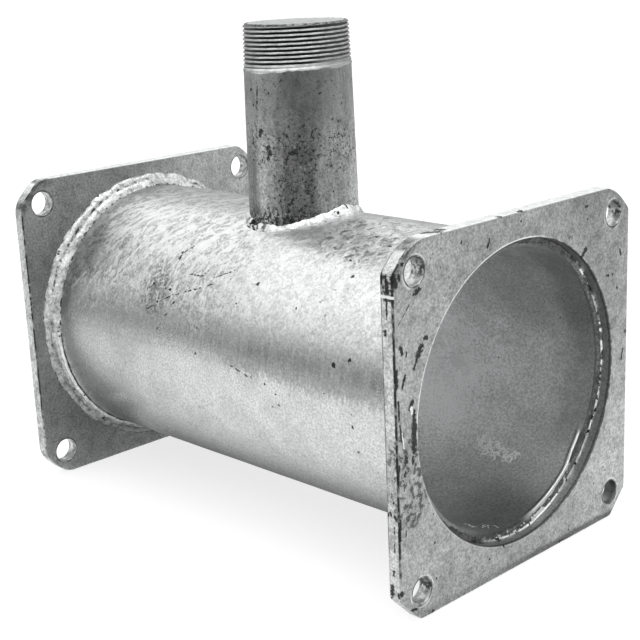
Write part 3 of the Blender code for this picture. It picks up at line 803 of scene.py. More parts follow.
# Painted dark reflection along the arrises of the plates' -Y edges, fainter near the foot.
front_arris = plate.far(plate.x, plate_high.x - 0.0005)
rear_arris = plate.far(plate.x, -plate_low.x - 0.0005)
thin_arris = plate.far(plate.x, plate_low.x + 0.0004)
arris_dark_reflection = plate.frayed(plate.maths("MINIMUM", front_arris, rear_arris), line_noise, 0.0010, 0.0005, 0.0011,
                         1.0, 0.0)
thin_line = plate.frayed(thin_arris, line_noise, 0.0006, 0.0003, 0.0006, 0.7, 0.0)
arris_dark_reflection = plate.both(plate.most([arris_dark_reflection, thin_line]), minus_y_side)
above_foot = plate.frayed(level_here, line_noise, 0.09, -0.075, -0.050)
arris_dark_reflection = plate.both(arris_dark_reflection, plate.blend(above_foot, 0.35, 1.0),
                       plate.levels(plate.clouds(0.0040, 3.0), 0.36, 0.50, 0.55, 1.0))
grey = plate.blend(arris_dark_reflection, grey, 0.03)
lump = plate.both(plate.near(plate.z, EDGE_DRIP_HEIGHT + 0.0055, 0.0040, 0.0052), edge_face, on_front,
                  plate.patches(0.43, 0.53, 0.0022, 3.0, 0.7))
grey = plate.blend(plate.both(lump, 0.92), grey, 0.03)
# Painted shade just under the drip across the front plate's -Y edge.
under_drip_shade = plate.both(plate.near(plate.z, EDGE_DRIP_HEIGHT - 0.0014, 0.0005, 0.0009), edge_face, on_front,
                        plate.levels(plate.x, 0.1485, 0.1495))
grey = plate.blend(plate.both(under_drip_shade, 0.9), grey, 0.03)
# Painted highlight on the drip itself.
drip_line = plate.both(plate.near(plate.z, EDGE_DRIP_HEIGHT, 0.0005, 0.0008), edge_face, on_front)
grey = plate.blend(drip_line, grey, 0.99)
# The plates' faces are darker just inside the sheared corner at the top of their -Y side.
under_cut = plate.frayed(cut_reach, line_noise, 0.010, cut_limit - 0.011, cut_limit - 0.002)
dark_by_cut = plate.both(under_cut, plate.levels(plate.y, -0.066, -0.074), plate.levels(level_here, 0.066, 0.074),
                    plate.levels(plate.clouds(0.004, 3.0), 0.38, 0.55, 0.4, 1.0))
grey = plate.toned(grey, plate.both(dark_by_cut, plate.off(on_rim)), 0.35)
in_patch = plate.strokes(on_face, [MOTTLED_PATCH], cloud)[0]
crust = plate.patches(0.50, 0.56, 0.0028, 3.0, 0.75)
marks = plate.strokes(on_face, PLATE_MARKS, ragged)
marks += plate.strokes(lambda x, z: (x, -plate_half, z), EDGE_MARKS, ragged)
marks += plate.strokes(lambda x, y: (x, y, plate_high.z), TOP_MARKS, ragged)
marks.append(plate.pits(0.0085, 0.0008, 0.22))
marks.append(plate.both(in_patch, crust, 0.85))
marks.append(plate.both(plate.patches(0.64, 0.69, 0.0030, 3.0, 0.7), plate.levels(blotch, 0.50, 0.58), 0.7))
blemish = plate.most(marks)
grey = plate.blend(plate.both(blemish, 0.94), grey, 0.02)
# Painted glints: bright strokes beside the gouges.
glints = plate.most(plate.strokes(on_face, PLATE_GLINTS, ragged))
grey = plate.blend(glints, grey, 0.99)
roughness = plate.blend(plate.levels(cloud, 0.3, 0.7), 0.36, 0.50)
height = plate.plus(plate.both(grain, 0.35), plate.both(cloud, 0.8))
height = plate.less(height, plate.both(blemish, 0.8))
flange_zinc = plate.done(grey, roughness, height, 0.00024)

for end, side, seed in (("front", 1, 11), ("rear", -1, 21)):
    flange = plate_piece(end, side, seed)
    flange.data.materials.clear()
    flange.data.materials.append(flange_zinc)
    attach(flange, "root")
    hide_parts(f"flange_{end}")


# Flange welds: hand-laid steel beads under the zinc. A wide fillet joins each flange's inner face to the
# outside of the run pipe, and a thin seal run closes the pipe's end inside the flange's bore.
FILLET_PLATE_LEG = 0.0078
FILLET_PIPE_LEG = 0.0066
SEAL_LEG = 0.0014
BEAD_SINK = 0.00025                  # by which a bead bites into what it joins
BEAD_STEPS = 1080
CROWN_STEPS = 15
CROWN_SQUARENESS = 1.45              # 1 is a quarter round, 2 a flat fillet
FILLET_RELIEF = (0.0040, 0.015, 0.010, 0.14)         # length and height of the ripples, and of the lumps
SEAL_RELIEF = (0.0035, 0.05, 0.006, 0.22)
FILLET_GROOVE = -0.20                # depth of the groove between a fillet's passes, and
SEAL_CREST = 0.45                    # height of a seal's crest, as shares of the bead
RIDGE_WIDTH = 0.09
SEAL_SHORTFALL = 0.0010              # of the seal from the bore of the pipe
GROOVE_SHARE = 0.45                  # across a fillet, from plate to pipe, where its two passes meet
CREST_SHARE = 0.86                   # across a seal bead, from the bore outwards, where it stands proud
RIDGE_WANDER = 0.10                  # by which either of them strays

weld_root_x = plate_low.x


def bead_piece(name, place, base_leg, rise_leg, length, relief, seed, ridge=(0.5, 0.0), swells=()):
    """Lay a fillet round a closed joint. place(angle, out, up) puts a section's points where they go."""
    ripple, ripple_height, lump, lump_height = relief
    angle = np.linspace(0.0, math.tau, BEAD_STEPS, endpoint=False)[:, None]
    share = np.linspace(0.0, 1.0, CROWN_STEPS)[None, :]
    turn = share * math.pi / 2
    out = base_leg * np.cos(turn) ** CROWN_SQUARENESS
    rise = rise_leg * np.abs(np.sin(turn)) ** CROWN_SQUARENESS
    away = np.sin(math.pi * share) ** 0.7
    flat = np.stack([np.cos(angle) * length / math.tau + 0 * share,
                     np.sin(angle) * length / math.tau + 0 * share,
                     share * (base_leg + rise_leg) + 0 * angle], axis=-1)
    ripples = round(length / ripple)
    bow = 2.2 * (2 * share - 1) ** 2 + 3.0 * bumps(flat, 4 * ripple, seed + 2)
    rippled = ripple_height * np.cos(ripples * angle + bow) * away
    rippled = rippled * ease(bumps(flat, 0.020, seed + 3), -0.3, 0.2)
    lumped = lump_height * (bumps(flat, lump, seed) + 0.55 * bumps(flat, lump * 0.4, seed + 1)
                            + 0.25 * away * bumps(flat, lump * 0.17, seed + 4))
    ridge_share, ridge_height = ridge
    ridge_here = ridge_share + RIDGE_WANDER * bumps(flat[:, :1], 0.030, seed + 6)
    proud = ridge_height * np.exp(-((share - ridge_here) / RIDGE_WIDTH) ** 2)
    proud = proud * ease(bumps(flat, 0.022, seed + 7), -0.45, 0.15)
    size = 1.0 + rippled + lumped + proud
    for at, width, swell in swells:
        apart = (angle - at + math.pi) % math.tau - math.pi
        size = size + swell * np.exp(-(apart / width) ** 2)
    out = out * size - BEAD_SINK
    rise = rise * size - BEAD_SINK
    below = np.full((BEAD_STEPS, 1), -BEAD_SINK)
    piece = skin(name, place(angle, np.concatenate([out, below], axis=1),
                             np.concatenate([rise, below], axis=1)))
    inside_ridge = ridge_share * share / ridge_here
    outside_ridge = 1.0 - (1.0 - ridge_share) * (1.0 - share) / (1.0 - ridge_here)
    across = np.where(share < ridge_here, inside_ridge, outside_ridge)
    across = np.concatenate([across, np.full((BEAD_STEPS, 1), 0.5)], axis=1).tolist()
    layer = piece.data.uv_layers.new(name="across_bead")
    for loop in piece.data.loops:
        ring, column = divmod(loop.vertex_index, CROWN_STEPS + 1)
        layer.data[loop.index].uv = (ring / BEAD_STEPS, across[ring][column])
    return piece


def ring_place(side, radius, outward, x, inward):
    """Places for a bead round the pipe: out goes outward (or -1, inward) from a radius, and up from x."""
    def place(angle, out, up):
        reach = radius + outward * out
        along = side * (x - inward * up)
        return np.stack(np.broadcast_arrays(along, reach * np.cos(angle),
                                            axis_height + reach * np.sin(angle)), -1)
    return place


def weld_finish(name, toe_dark, groove_dark, shade_and_burn, marks=()):
    """Bright zinc on rough beads: black pits and slag, black specks by the toes, and painted shade in the
    groove, along the lower pipe toe and low on the plate's side.
    """
    bright = Finish(name, 0.80)
    grain = bright.clouds(0.0013, 3.0, 0.8)
    cloud = bright.clouds(0.0045, 4.0, 0.65, 0.6)
    grey = bright.blend(bright.levels(grain, 0.36, 0.64), 0.64, 0.99)
    grey = bright.both(grey, bright.levels(cloud, 0.50, 0.64, 1.0, 0.60), shade_and_burn(bright))
    across = bright.split(bright.add("ShaderNodeUVMap", {}, uv_map="across_bead"))[1]
    across = bright.wobble(across, bright.clouds(0.004, 2.0), 0.14)
    streaky = bright.both(bright.patches(0.40, 0.60, 0.0040, 4.0), bright.patches(0.40, 0.56, 0.020, 1.0))
    # Painted shade in the groove between the passes.
    groove_shade = bright.both(bright.levels(bright.far(across, GROOVE_SHARE), 0.025, 0.075, groove_dark, 0.0),
                            streaky)
    # Black specks by the toes, and painted shade along the pipe toe and low on the bead.
    pipe_toe = bright.near(across, 0.93, 0.03, 0.06)
    low = bright.levels(bright.z, axis_height + 0.010, axis_height - 0.015)
    dots = bright.patches(0.53, 0.57, 0.0028, 2.0)
    near_toe = bright.most([bright.levels(across, 0.84, 0.90), bright.levels(across, 0.14, 0.08)])
    toe_specks_and_shade = bright.most([bright.both(near_toe, dots), bright.both(pipe_toe, low)])
    pale_toe = bright.both(bright.near(across, 0.80, 0.05, 0.09), low, toe_dark)
    grey = bright.toned(grey, bright.both(low, toe_dark, bright.levels(across, 0.66, 0.56)), 0.80)
    grey = bright.blend(bright.both(pale_toe, 0.9), grey, 1.0)
    grey = bright.blend(bright.most([groove_shade, bright.both(toe_specks_and_shade, toe_dark)]), grey, 0.04)
    blemish = bright.most([bright.pits(0.0030, 0.0007, 0.35), bright.pits(0.0065, 0.0013, 0.20)])
    blemish = bright.both(blemish, bright.patches(0.42, 0.52, 0.012, 1.0))
    ragged = bright.clouds(0.0012, 2.0)
    slag = [bright.stroke(start, end, width, ragged) for start, end, width in marks]
    blemish = bright.most([blemish] + slag)
    grey = bright.blend(blemish, grey, 0.03)
    roughness = bright.blend(bright.levels(cloud, 0.3, 0.7), 0.24, 0.42)
    height = bright.plus(bright.both(grain, 0.3), bright.both(cloud, 0.8))
    height = bright.less(height, blemish)
    return bright.done(grey, roughness, height, 0.00040)


def seal_finish():
    """A dull, dark bead, with painted light on its right and painted shade along its inner toe. Low on the
    right its crest has a painted highlight, between black pits.
    """
    dim = Finish("zinc_seal", 0.76)
    grain = dim.clouds(0.0013, 3.0, 0.8)
    across = dim.split(dim.add("ShaderNodeUVMap", {}, uv_map="across_bead"))[1]
    across = dim.wobble(across, dim.clouds(0.005, 2.0), 0.10)
    dashes = dim.clouds(0.0060, 3.0, 0.7)
    low_down = dim.levels(dim.z, 0.085, 0.065)
    # Painted light: the bead is paler on its +Y side, below its top.
    lit = dim.both(dim.levels(dim.y, -0.030, -0.005), dim.levels(dim.z, 0.160, 0.148))
    crest = dim.near(across, CREST_SHARE, 0.14, 0.22)
    grey = dim.blend(dim.levels(grain, 0.36, 0.64), 0.09, 0.26)
    grey = dim.both(grey, dim.levels(dim.clouds(0.0050, 3.0), 0.40, 0.60, 0.70, 1.30),
                    dim.blend(lit, 0.55, 1.0))
    # Painted shade along the inner toe.
    grey = dim.blend(dim.levels(across, 0.16, 0.08), grey, 0.04)
    # Painted highlight in dashes along the crest.
    from_here = dim.blend(low_down, 0.50, 0.38)
    shining = dim.levels(dim.less(dashes, from_here), 0.0, 0.04)
    grey = dim.blend(dim.both(crest, lit, shining), grey, 1.0)
    # Painted light on patches low down, where the bead faces up.
    lit_low_patches = dim.both(dim.levels(dim.z, 0.040, 0.030), dim.levels(across, 0.34, 0.46), lit,
                        dim.patches(0.52, 0.56, 0.0052, 3.0))
    grey = dim.blend(lit_low_patches, grey, 1.0)
    pitted = dim.both(dim.levels(across, 0.60, 0.68), dim.levels(dashes, 0.43, 0.39))
    grey = dim.blend(pitted, grey, 0.02)
    roughness = dim.blend(crest, 0.48, 0.26)
    return dim.done(grey, roughness, grain, 0.00020)


def shaded_below(finish):
    """Full bright above the pipe's axis, and painted shade below it."""
    return finish.levels(finish.z, axis_height - 0.03, axis_height + 0.03, 0.66, 1.0)


fillet_zinc = weld_finish("zinc_fillet", 1.0, 0.90, shaded_below)
seal_zinc = seal_finish()

fillet_length = math.tau * (run_radius + 0.003)
for end, side, seed in (("front", 1, 31), ("rear", -1, 41)):
    fillet = bead_piece(f"galvanised_weld_{end}_outer", ring_place(side, run_radius, 1, weld_root_x, 1),
                        FILLET_PLATE_LEG, FILLET_PIPE_LEG, fillet_length, FILLET_RELIEF, seed,
                        (GROOVE_SHARE, FILLET_GROOVE))
    seal = bead_piece(f"galvanised_weld_{end}_inner", ring_place(side, plate_bore_radius, -1, run_end, -1),
                      plate_bore_radius - run_bore_radius - SEAL_SHORTFALL, SEAL_LEG, fillet_length,
                      SEAL_RELIEF, seed + 5, (CREST_SHARE, SEAL_CREST))
    for piece, node, zinc in ((fillet, f"weld_{end}_outer", fillet_zinc),
                              (seal, f"weld_{end}_inner", seal_zinc)):
        piece.data.materials.append(zinc)
        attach(piece, "root")
        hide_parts(node)


# Branch: a nipple of 2 inch steel pipe, set on the run pipe's back, with a taper pipe thread cut on its
# free end. Its foot is shaped to the run. The zinc on it is dull and dark, and the thread stayed bright.
# A dark reflection is painted down its side towards the camera, and shade into the thread's roots.
BRANCH_WALL = 0.00365
THREAD_LENGTH = 0.0240
THREAD_TAPER = 1.0 / 16.0            # on the diameter
THREAD_PITCH = 0.002309
THREAD_DEPTH = 0.0008                # the zinc has filled its roots
THREAD_FLANK = (0.26, 0.74)          # of half a turn, where the flank falls from crest to root
THREAD_TILT = 0.0011                 # by which its low end is askew
THREAD_TILT_TURN = math.radians(46)
THREAD_END_CHAMFER = 0.0011
THREAD_RUN_OUT = 0.0030
BRANCH_STEPS_ROUND = 256
BRANCH_PLAIN_STEPS = 90
THREAD_STEPS = 170
BRANCH_BORE_STEPS = 40
BRANCH_FOOT_SWELL = 0.0013           # by which the coat thickens towards the foot
BRANCH_WAVES = ((0.020, 0.00010), (0.006, 0.00004))  # size and height of the coat's unevenness
RIM_WEAR = 0.0004                    # depth and size of the nicks in its end
RIM_NICK = 0.0015
COLLAR_HEIGHT = 0.00025              # of the ragged edge of zinc below the thread
COLLAR_WIDTH = 0.0007
SKIN_DEPTH = 0.001                   # what lies this far off the bore is outside

branch_low, branch_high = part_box("branch_nipple")
branch_radius = (branch_high.y - branch_low.y) / 2
branch_bore = branch_radius - BRANCH_WALL
branch_top = branch_high.z
thread_low = branch_top - THREAD_LENGTH


def saddle_height(across):
    """Height of the run pipe's back at a distance across its axis."""
    return axis_height + np.sqrt(run_radius ** 2 - across ** 2)


def branch_rings():
    angle = np.linspace(0.0, math.tau, BRANCH_STEPS_ROUND, endpoint=False)[:, None]
    foot = saddle_height(branch_radius * np.sin(angle))
    share = np.linspace(0.0, 1.0, BRANCH_PLAIN_STEPS, endpoint=False)[None, :]
    plain_z = foot + share * (thread_low - foot)
    plain_r = branch_radius + BRANCH_FOOT_SWELL * (1 - share) + 0 * plain_z
    askew = THREAD_TILT * np.cos(angle - THREAD_TILT_TURN)
    thread_z = np.linspace(thread_low, branch_top, THREAD_STEPS)[None, :] + 0 * angle
    climbed = thread_z - thread_low
    crest = branch_radius - climbed * THREAD_TAPER / 2
    phase = (climbed / THREAD_PITCH - angle / math.tau) % 1.0
    valley = ease(1.0 - np.abs(2.0 * phase - 1.0), *THREAD_FLANK)
    depth = THREAD_DEPTH * np.clip((climbed - askew) / THREAD_RUN_OUT, 0.0, 1.0)
    thread_r = crest - depth * valley
    end_chamfer = crest[:, -1:] - THREAD_END_CHAMFER + (branch_top - thread_z)
    thread_r = np.minimum(thread_r, end_chamfer)
    inner_foot = saddle_height(branch_bore * np.sin(angle))
    share = np.linspace(0.0, 1.0, BRANCH_BORE_STEPS)[None, :]
    bore_z = branch_top - share * (branch_top - inner_foot)
    rim = np.concatenate([np.cos(angle), np.sin(angle), 0 * angle], axis=1) * branch_radius
    rim_wear = RIM_WEAR * (0.5 + 0.5 * bumps(rim, RIM_NICK, 54))[:, None]
    thread_z = thread_z - rim_wear * ease(thread_z, branch_top - 0.001, branch_top)
    bore_z = bore_z - rim_wear * ease(bore_z, branch_top - 0.001, branch_top)
    bore_r = np.full_like(bore_z, branch_bore)
    z = np.concatenate([plain_z, thread_z, bore_z], axis=1)
    radius = np.concatenate([plain_r, thread_r, bore_r], axis=1)
    plain = np.stack([radius * np.cos(angle), radius * np.sin(angle), z], axis=-1)
    outside = radius > branch_bore + SKIN_DEPTH
    relief = sum(height * bumps(plain, size, 51 + i) for i, (size, height) in enumerate(BRANCH_WAVES))
    edge_noise = bumps(plain, 0.012, 53) + 0.6 * bumps(plain, 0.004, 55)
    past_edge = z - thread_low - askew + 0.0003 + COLLAR_WIDTH * edge_noise
    collar = COLLAR_HEIGHT * np.exp(-(past_edge / COLLAR_WIDTH) ** 2)
    radius = radius + outside * (z < thread_low) * relief + outside * collar
    return np.stack([radius * np.cos(angle), radius * np.sin(angle), z], axis=-1)


branch_piece = skin("galvanised_branch", branch_rings())

BRANCH_PIT_MARKS = (                 # degrees round the branch, height and size
    (-90, 0.2225, 0.0030), (-91, 0.2200, 0.0022), (-81, 0.2135, 0.0032), (-79, 0.2105, 0.0034),
    (-82, 0.2080, 0.0028), (-52, 0.2112, 0.0038), (-49, 0.2120, 0.0024), (-55, 0.2105, 0.0026),
    (-20, 0.2185, 0.0014), (-17, 0.2165, 0.0012), (-2, 0.2190, 0.0018), (-2, 0.2080, 0.0016),
    (-10, 0.2145, 0.0014), (-12, 0.2115, 0.0012), (-104, 0.2440, 0.0018), (-100, 0.2360, 0.0012),
    (-22, 0.2420, 0.0010), (-34, 0.2150, 0.0014), (-28, 0.2160, 0.0012),
)
BRANCH_SEAM = (-92, 0.248, -99, 0.203, 0.0015)     # the pipe's own seam, from and to, and width
DARK_REFLECTION_TURN = math.radians(-54)               # of the painted dark reflection down the branch, on its side towards the camera
LIGHT_LINE_TURN = math.radians(-91)                # and of a painted light stripe on its left
PITTED_HEIGHT = 0.213


def on_branch(degrees, z):
    """A place on the outside of the branch."""
    angle = math.radians(degrees)
    return (branch_radius * math.cos(angle), branch_radius * math.sin(angle), z)


dark = Finish("zinc_branch", 0.74)
turn_here = dark.maths("ARCTAN2", dark.y, dark.x)
grain = dark.clouds(0.0013, 3.0, 0.8)
cloud = dark.clouds(0.008, 4.0, 0.65, 0.4)
drawn = dark.add("ShaderNodeMapping", {"Vector": dark.place, "Scale": (1.0, 1.0, 0.18)})
drag = dark.clouds(0.0045, 3.0, 0.6, 0.2, drawn)
ragged = dark.clouds(0.0010, 2.0)
speckle = dark.clouds(0.0021, 3.0, 0.8)
rough_part = dark.frayed(dark.z, cloud, 0.02, 0.232, 0.222)
grey = dark.blend(dark.levels(grain, 0.34, 0.66), dark.blend(rough_part, 0.36, 0.29),
                  dark.blend(rough_part, 0.54, 0.60))
grey = dark.both(grey, dark.levels(drag, 0.42, 0.66, 1.06, 0.82))
grey = dark.both(grey, dark.levels(cloud, 0.46, 0.68, 1.06, 0.76))
upper = dark.levels(dark.z, 0.205, 0.245)
# Painted dark reflection down the side of the branch that faces the camera.
turn_uneven = dark.wobble(turn_here, drag, 0.25)
dark_reflection_left = dark.levels(turn_uneven, dark.blend(upper, -1.52, -1.80), dark.blend(upper, -1.02, -0.75))
dark_reflection_right = dark.levels(turn_uneven, dark.blend(upper, -0.38, 0.30), dark.blend(upper, -0.62, -0.70))
dark_reflection = dark.both(dark_reflection_left, dark_reflection_right)
grey = dark.both(grey, dark.blend(dark_reflection, 1.0, dark.blend(upper, 0.36, 0.44)),
                 dark.levels(dark.z, 0.215, 0.245, 1.04, 0.84))
# A darker stripe down the far side, and painted light on the branch towards its sides.
from_far_side = dark.far(turn_here, DARK_REFLECTION_TURN + math.pi)
grey = dark.both(grey, dark.levels(from_far_side, 0.10, 0.70, 0.50, 1.0),
                 dark.levels(turn_here, 0.10, 0.50, 1.0, 1.30),
                 dark.levels(turn_here, -1.85, -2.05, 1.0, 1.15))
low_down = dark.frayed(dark.z, cloud, 0.02, 0.218, 0.206)
# Painted highlight: a light stripe down the branch's -Y side, strongest low down.
left_highlight = dark.frayed(dark.far(turn_here, LIGHT_LINE_TURN), drag, 0.1, 0.03, 0.14, 1.0, 0.0)
grey = dark.toned(grey, dark.both(left_highlight, dark.blend(low_down, 0.35, 1.0)), 1.30)
low_left = dark.both(dark.frayed(turn_here, ragged, 0.1, -1.68, -1.78), low_down)
grey = dark.toned(grey, low_left, 0.72)
across_pits = dark.near(dark.wobble(dark.z, cloud, 0.012), PITTED_HEIGHT, 0.005, 0.014)
below_pits = dark.both(dark_reflection, dark.levels(dark.z, 0.236, 0.216))
pitted = dark.most([dark.both(across_pits, 0.9), below_pits])
crust = dark.levels(dark.plus(speckle, dark.both(pitted, 0.075)), 0.625, 0.665)
glints = dark.both(dark.levels(speckle, 0.37, 0.32), pitted)
grey = dark.blend(dark.both(glints, 0.5), grey, 0.70)
seam = dark.strokes(on_branch, [BRANCH_SEAM], ragged)[0]
seam = dark.both(seam, dark.patches(0.44, 0.54, 0.0036, 2.0))
marks = dark.strokes(on_branch, [(a, z, a + 1, z + 0.0006, size) for a, z, size in BRANCH_PIT_MARKS], ragged)
marks += [seam, crust, dark.pits(0.006, 0.0008, 0.20)]
blemish = dark.most(marks)
grey = dark.blend(dark.both(blemish, 0.93), grey, 0.02)
foot = dark.less(dark.z, saddle_height(0.0))
burnt = dark.both(dark.frayed(foot, cloud, 0.010, 0.010, 0.000), dark.levels(speckle, 0.46, 0.52),
                  dark.levels(turn_here, -0.35, -0.75, 0.50, 0.90))
grey = dark.blend(burnt, grey, 0.02)
askew = dark.both(dark.maths("COSINE", dark.less(turn_here, THREAD_TILT_TURN)), THREAD_TILT)
climbed = dark.less(dark.less(dark.z, thread_low), askew)
threaded = dark.frayed(climbed, dark.clouds(0.010, 3.0), 0.0035, -0.0014, -0.0008)
flat_place = dark.add("ShaderNodeCombineXYZ", {0: dark.x, 1: dark.y})
from_axis = dark.add("ShaderNodeVectorMath", {0: flat_place}, "Value", operation="LENGTH")
above_end = dark.maths("MAXIMUM", dark.less(dark.z, thread_low), 0.0)
crest_here = dark.less(branch_radius, dark.both(above_end, THREAD_TAPER / 2))
sunk = dark.less(crest_here, from_axis)
# Painted shade: the thread's roots are black, and the crests are painted palest on the side towards the
# camera.
side_view = dark.levels(dark.far(turn_here, DARK_REFLECTION_TURN), 0.35, 1.0)
root_shade = dark.blend(side_view, 0.01, 0.10)
thread_grey = dark.blend(dark.levels(sunk, 0.00012, 0.00048), dark.blend(side_view, 0.95, 0.72), root_shade)
thread_grey = dark.both(thread_grey, dark.levels(dark.clouds(0.004, 4.0), 0.3, 0.6, 0.75, 1.05))
last_turns = dark.both(dark.levels(climbed, 0.0060, 0.0020), dark.levels(turn_here, -0.60, -0.10))
thread_grey = dark.blend(dark.both(last_turns, 0.7), thread_grey, 0.42)
grey = dark.blend(threaded, grey, thread_grey)
inside = dark.levels(from_axis, branch_bore + 0.0006, branch_bore + 0.0002)
# Painted light and shade in the bore: near white at its top, darker deeper down.
bore_shaded_grey = dark.levels(dark.z, branch_top - 0.030, branch_top - 0.006, 0.45, 1.0)
grey = dark.blend(inside, grey, bore_shaded_grey)
at_end = dark.frayed(dark.z, speckle, 0.0016, branch_top - 0.0018, branch_top - 0.0012)
end_face = dark.both(at_end, dark.levels(from_axis, branch_bore, branch_bore + 0.0006))
grey = dark.blend(end_face, grey, dark.levels(speckle, 0.42, 0.62, 0.03, 0.30))
dark.tree.links.new(dark.levels(inside, 0.0, 1.0, 0.74, 0.10), dark.shader.inputs["Metallic"])
roughness = dark.blend(dark.levels(cloud, 0.3, 0.7), 0.38, 0.52)
roughness = dark.blend(threaded, roughness, 0.32)
roughness = dark.blend(inside, roughness, 0.75)
height = dark.plus(dark.both(grain, 0.35), dark.both(drag, 0.4))
height = dark.less(height, dark.both(blemish, 0.8))
branch_piece.data.materials.append(dark.done(grey, roughness, height, 0.00024))
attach(branch_piece, "root")
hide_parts("branch_nipple")


# Branch weld: a fillet on the saddle where the branch stands on the run, laid by hand in short arcs,
# so that it is lumpy. It is the brightest place on the tee, and flares out on either side.
BRANCH_WELD_PIPE_LEG = 0.0044
BRANCH_WELD_NIPPLE_LEG = 0.0046
BRANCH_WELD_RELIEF = (0.0050, 0.02, 0.006, 0.18)     # length and height of the ripples, and of the lumps
BRANCH_WELD_SWELLS = (               # turn round the branch, width of the lump, extra size
    (math.radians(4), 0.20, 0.35), (math.radians(-60), 0.45, -0.30), (math.radians(178), 0.30, 0.15),
)
SLAG_TURN = math.radians(-103)       # where the weld is burnt and black
LUMP_MARKS = (                       # black slag on the lump at its right: from, to and width
    ((0.0315, -0.0075, 0.1765), (0.0325, -0.0050, 0.1765), 0.0016),
    ((0.0315, 0.0010, 0.1795), (0.0330, 0.0015, 0.1780), 0.0010),
)


def saddle_place(angle, out, up):
    reach = branch_radius + out
    x = reach * np.cos(angle)
    y = reach * np.sin(angle)
    return np.stack([x, y, saddle_height(y) + up], axis=-1)


def burnt_side(finish):
    """Full bright all round, but for the burnt place on the left."""
    turn_here = finish.maths("ARCTAN2", finish.y, finish.x)
    burnt = finish.both(finish.near(turn_here, SLAG_TURN, 0.16, 0.48),
                        finish.patches(0.48, 0.53, 0.0030, 3.0, 0.7))
    return finish.less(1.35, finish.both(burnt, 1.34))


branch_weld = bead_piece("galvanised_weld_branch", saddle_place, BRANCH_WELD_PIPE_LEG, BRANCH_WELD_NIPPLE_LEG,
                         math.tau * (branch_radius + 0.002), BRANCH_WELD_RELIEF, 61,
                         swells=BRANCH_WELD_SWELLS)
branch_weld.data.materials.append(weld_finish("zinc_branch_weld", 0.6, 0.0, burnt_side, LUMP_MARKS))
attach(branch_weld, "root")
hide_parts("weld_branch")


# Floor: a plain pale studio sweep. It shows white to the camera and in the zinc, and takes a soft shadow.
FLOOR_HALF_WIDTH = 40.0
FLOOR_GREY = 0.50
FLOOR_OWN_WHITE = 0.72               # added where the camera sees the floor
FLOOR_SHINE = 0.60                   # added where a reflection does
FLOOR_SHINE_UNDER = 0.12             # less of it under the tee, as painted shade that only reflections see
UNDER_REACH = (0.020, 0.105)         # distances from under it between which the shine grows to full
UNDER_HALF_LENGTH = 0.080


def seen_directly(tree):
    """1 for rays from the camera, off a glossy surface or through a clear one, and else 0."""
    seen = 0.0
    for name in ("Is Camera Ray", "Is Glossy Ray", "Is Transmission Ray"):
        of_kind = add_node(tree, "ShaderNodeLightPath", {}, name)
        seen = add_node(tree, "ShaderNodeMath", {0: of_kind, 1: seen}, operation="MAXIMUM")
    return seen


def stage_piece(name, points, faces, paint_name, surface):
    """A piece of the studio. Its paint is whatever surface(tree) gives back."""
    mesh = bpy.data.meshes.new(name)
    mesh.from_pydata(points, [], faces)
    piece = bpy.data.objects.new(name, mesh)
    bpy.context.scene.collection.objects.link(piece)
    paint = bpy.data.materials.new(paint_name)
    paint.use_nodes = True
    paint.node_tree.nodes.clear()
    out = paint.node_tree.nodes.new("ShaderNodeOutputMaterial")
    paint.node_tree.links.new(surface(paint.node_tree), out.inputs["Surface"])
    mesh.materials.append(paint)
    return piece


def floor_surface(tree):
    def maths(operation, first, second=0.0):
        return add_node(tree, "ShaderNodeMath", {0: first, 1: second}, operation=operation)

    place = add_node(tree, "ShaderNodeTexCoord", {}, "Object")
    sides = [add_node(tree, "ShaderNodeSeparateXYZ", {0: place}, side) for side in (0, 1)]
    along, aside = [maths("ABSOLUTE", side) for side in sides]
    from_under = maths("MAXIMUM", aside, maths("SUBTRACT", along, UNDER_HALF_LENGTH))
    # Painted shade: the white that reflections see is less under the tee.
    white_there = add_node(tree, "ShaderNodeMapRange", {
        "Value": from_under, "From Min": UNDER_REACH[0], "From Max": UNDER_REACH[1],
        "To Min": FLOOR_SHINE_UNDER, "To Max": FLOOR_SHINE,
    }, interpolation_type="SMOOTHSTEP")
    camera_sees = add_node(tree, "ShaderNodeLightPath", {}, "Is Camera Ray")
    white_seen = add_node(tree, "ShaderNodeMix", {0: camera_sees, 2: white_there, 3: FLOOR_OWN_WHITE})
    own_white = add_node(tree, "ShaderNodeEmission",
                         {"Strength": maths("MULTIPLY", seen_directly(tree), white_seen)})
    matt = add_node(tree, "ShaderNodeBsdfDiffuse", {"Color": (FLOOR_GREY, FLOOR_GREY, FLOOR_GREY, 1.0)})
    return add_node(tree, "ShaderNodeAddShader", {0: matt, 1: own_white})


half = FLOOR_HALF_WIDTH
floor = stage_piece("floor", [(-half, -half, 0), (half, -half, 0), (half, half, 0), (-half, half, 0)],
                    [(0, 1, 2, 3)], "pale_floor", floor_surface)


# Studio wall: a round grey screen that only the zinc's reflections see. It is dark low down and pale
# high up, as a studio is beyond its lit floor, and gives the pipes their soft bands of dark and light.
WALL_RADIUS = 1.5
WALL_STEPS = 96
WALL_LIFT = 0.002                    # off the floor
WALL_SHADES = (                      # height and brightness
    (0.00, 0.10), (0.15, 0.18), (0.36, 0.46), (0.65, 0.78), (1.00, 0.98), (2.00, 1.20),
)


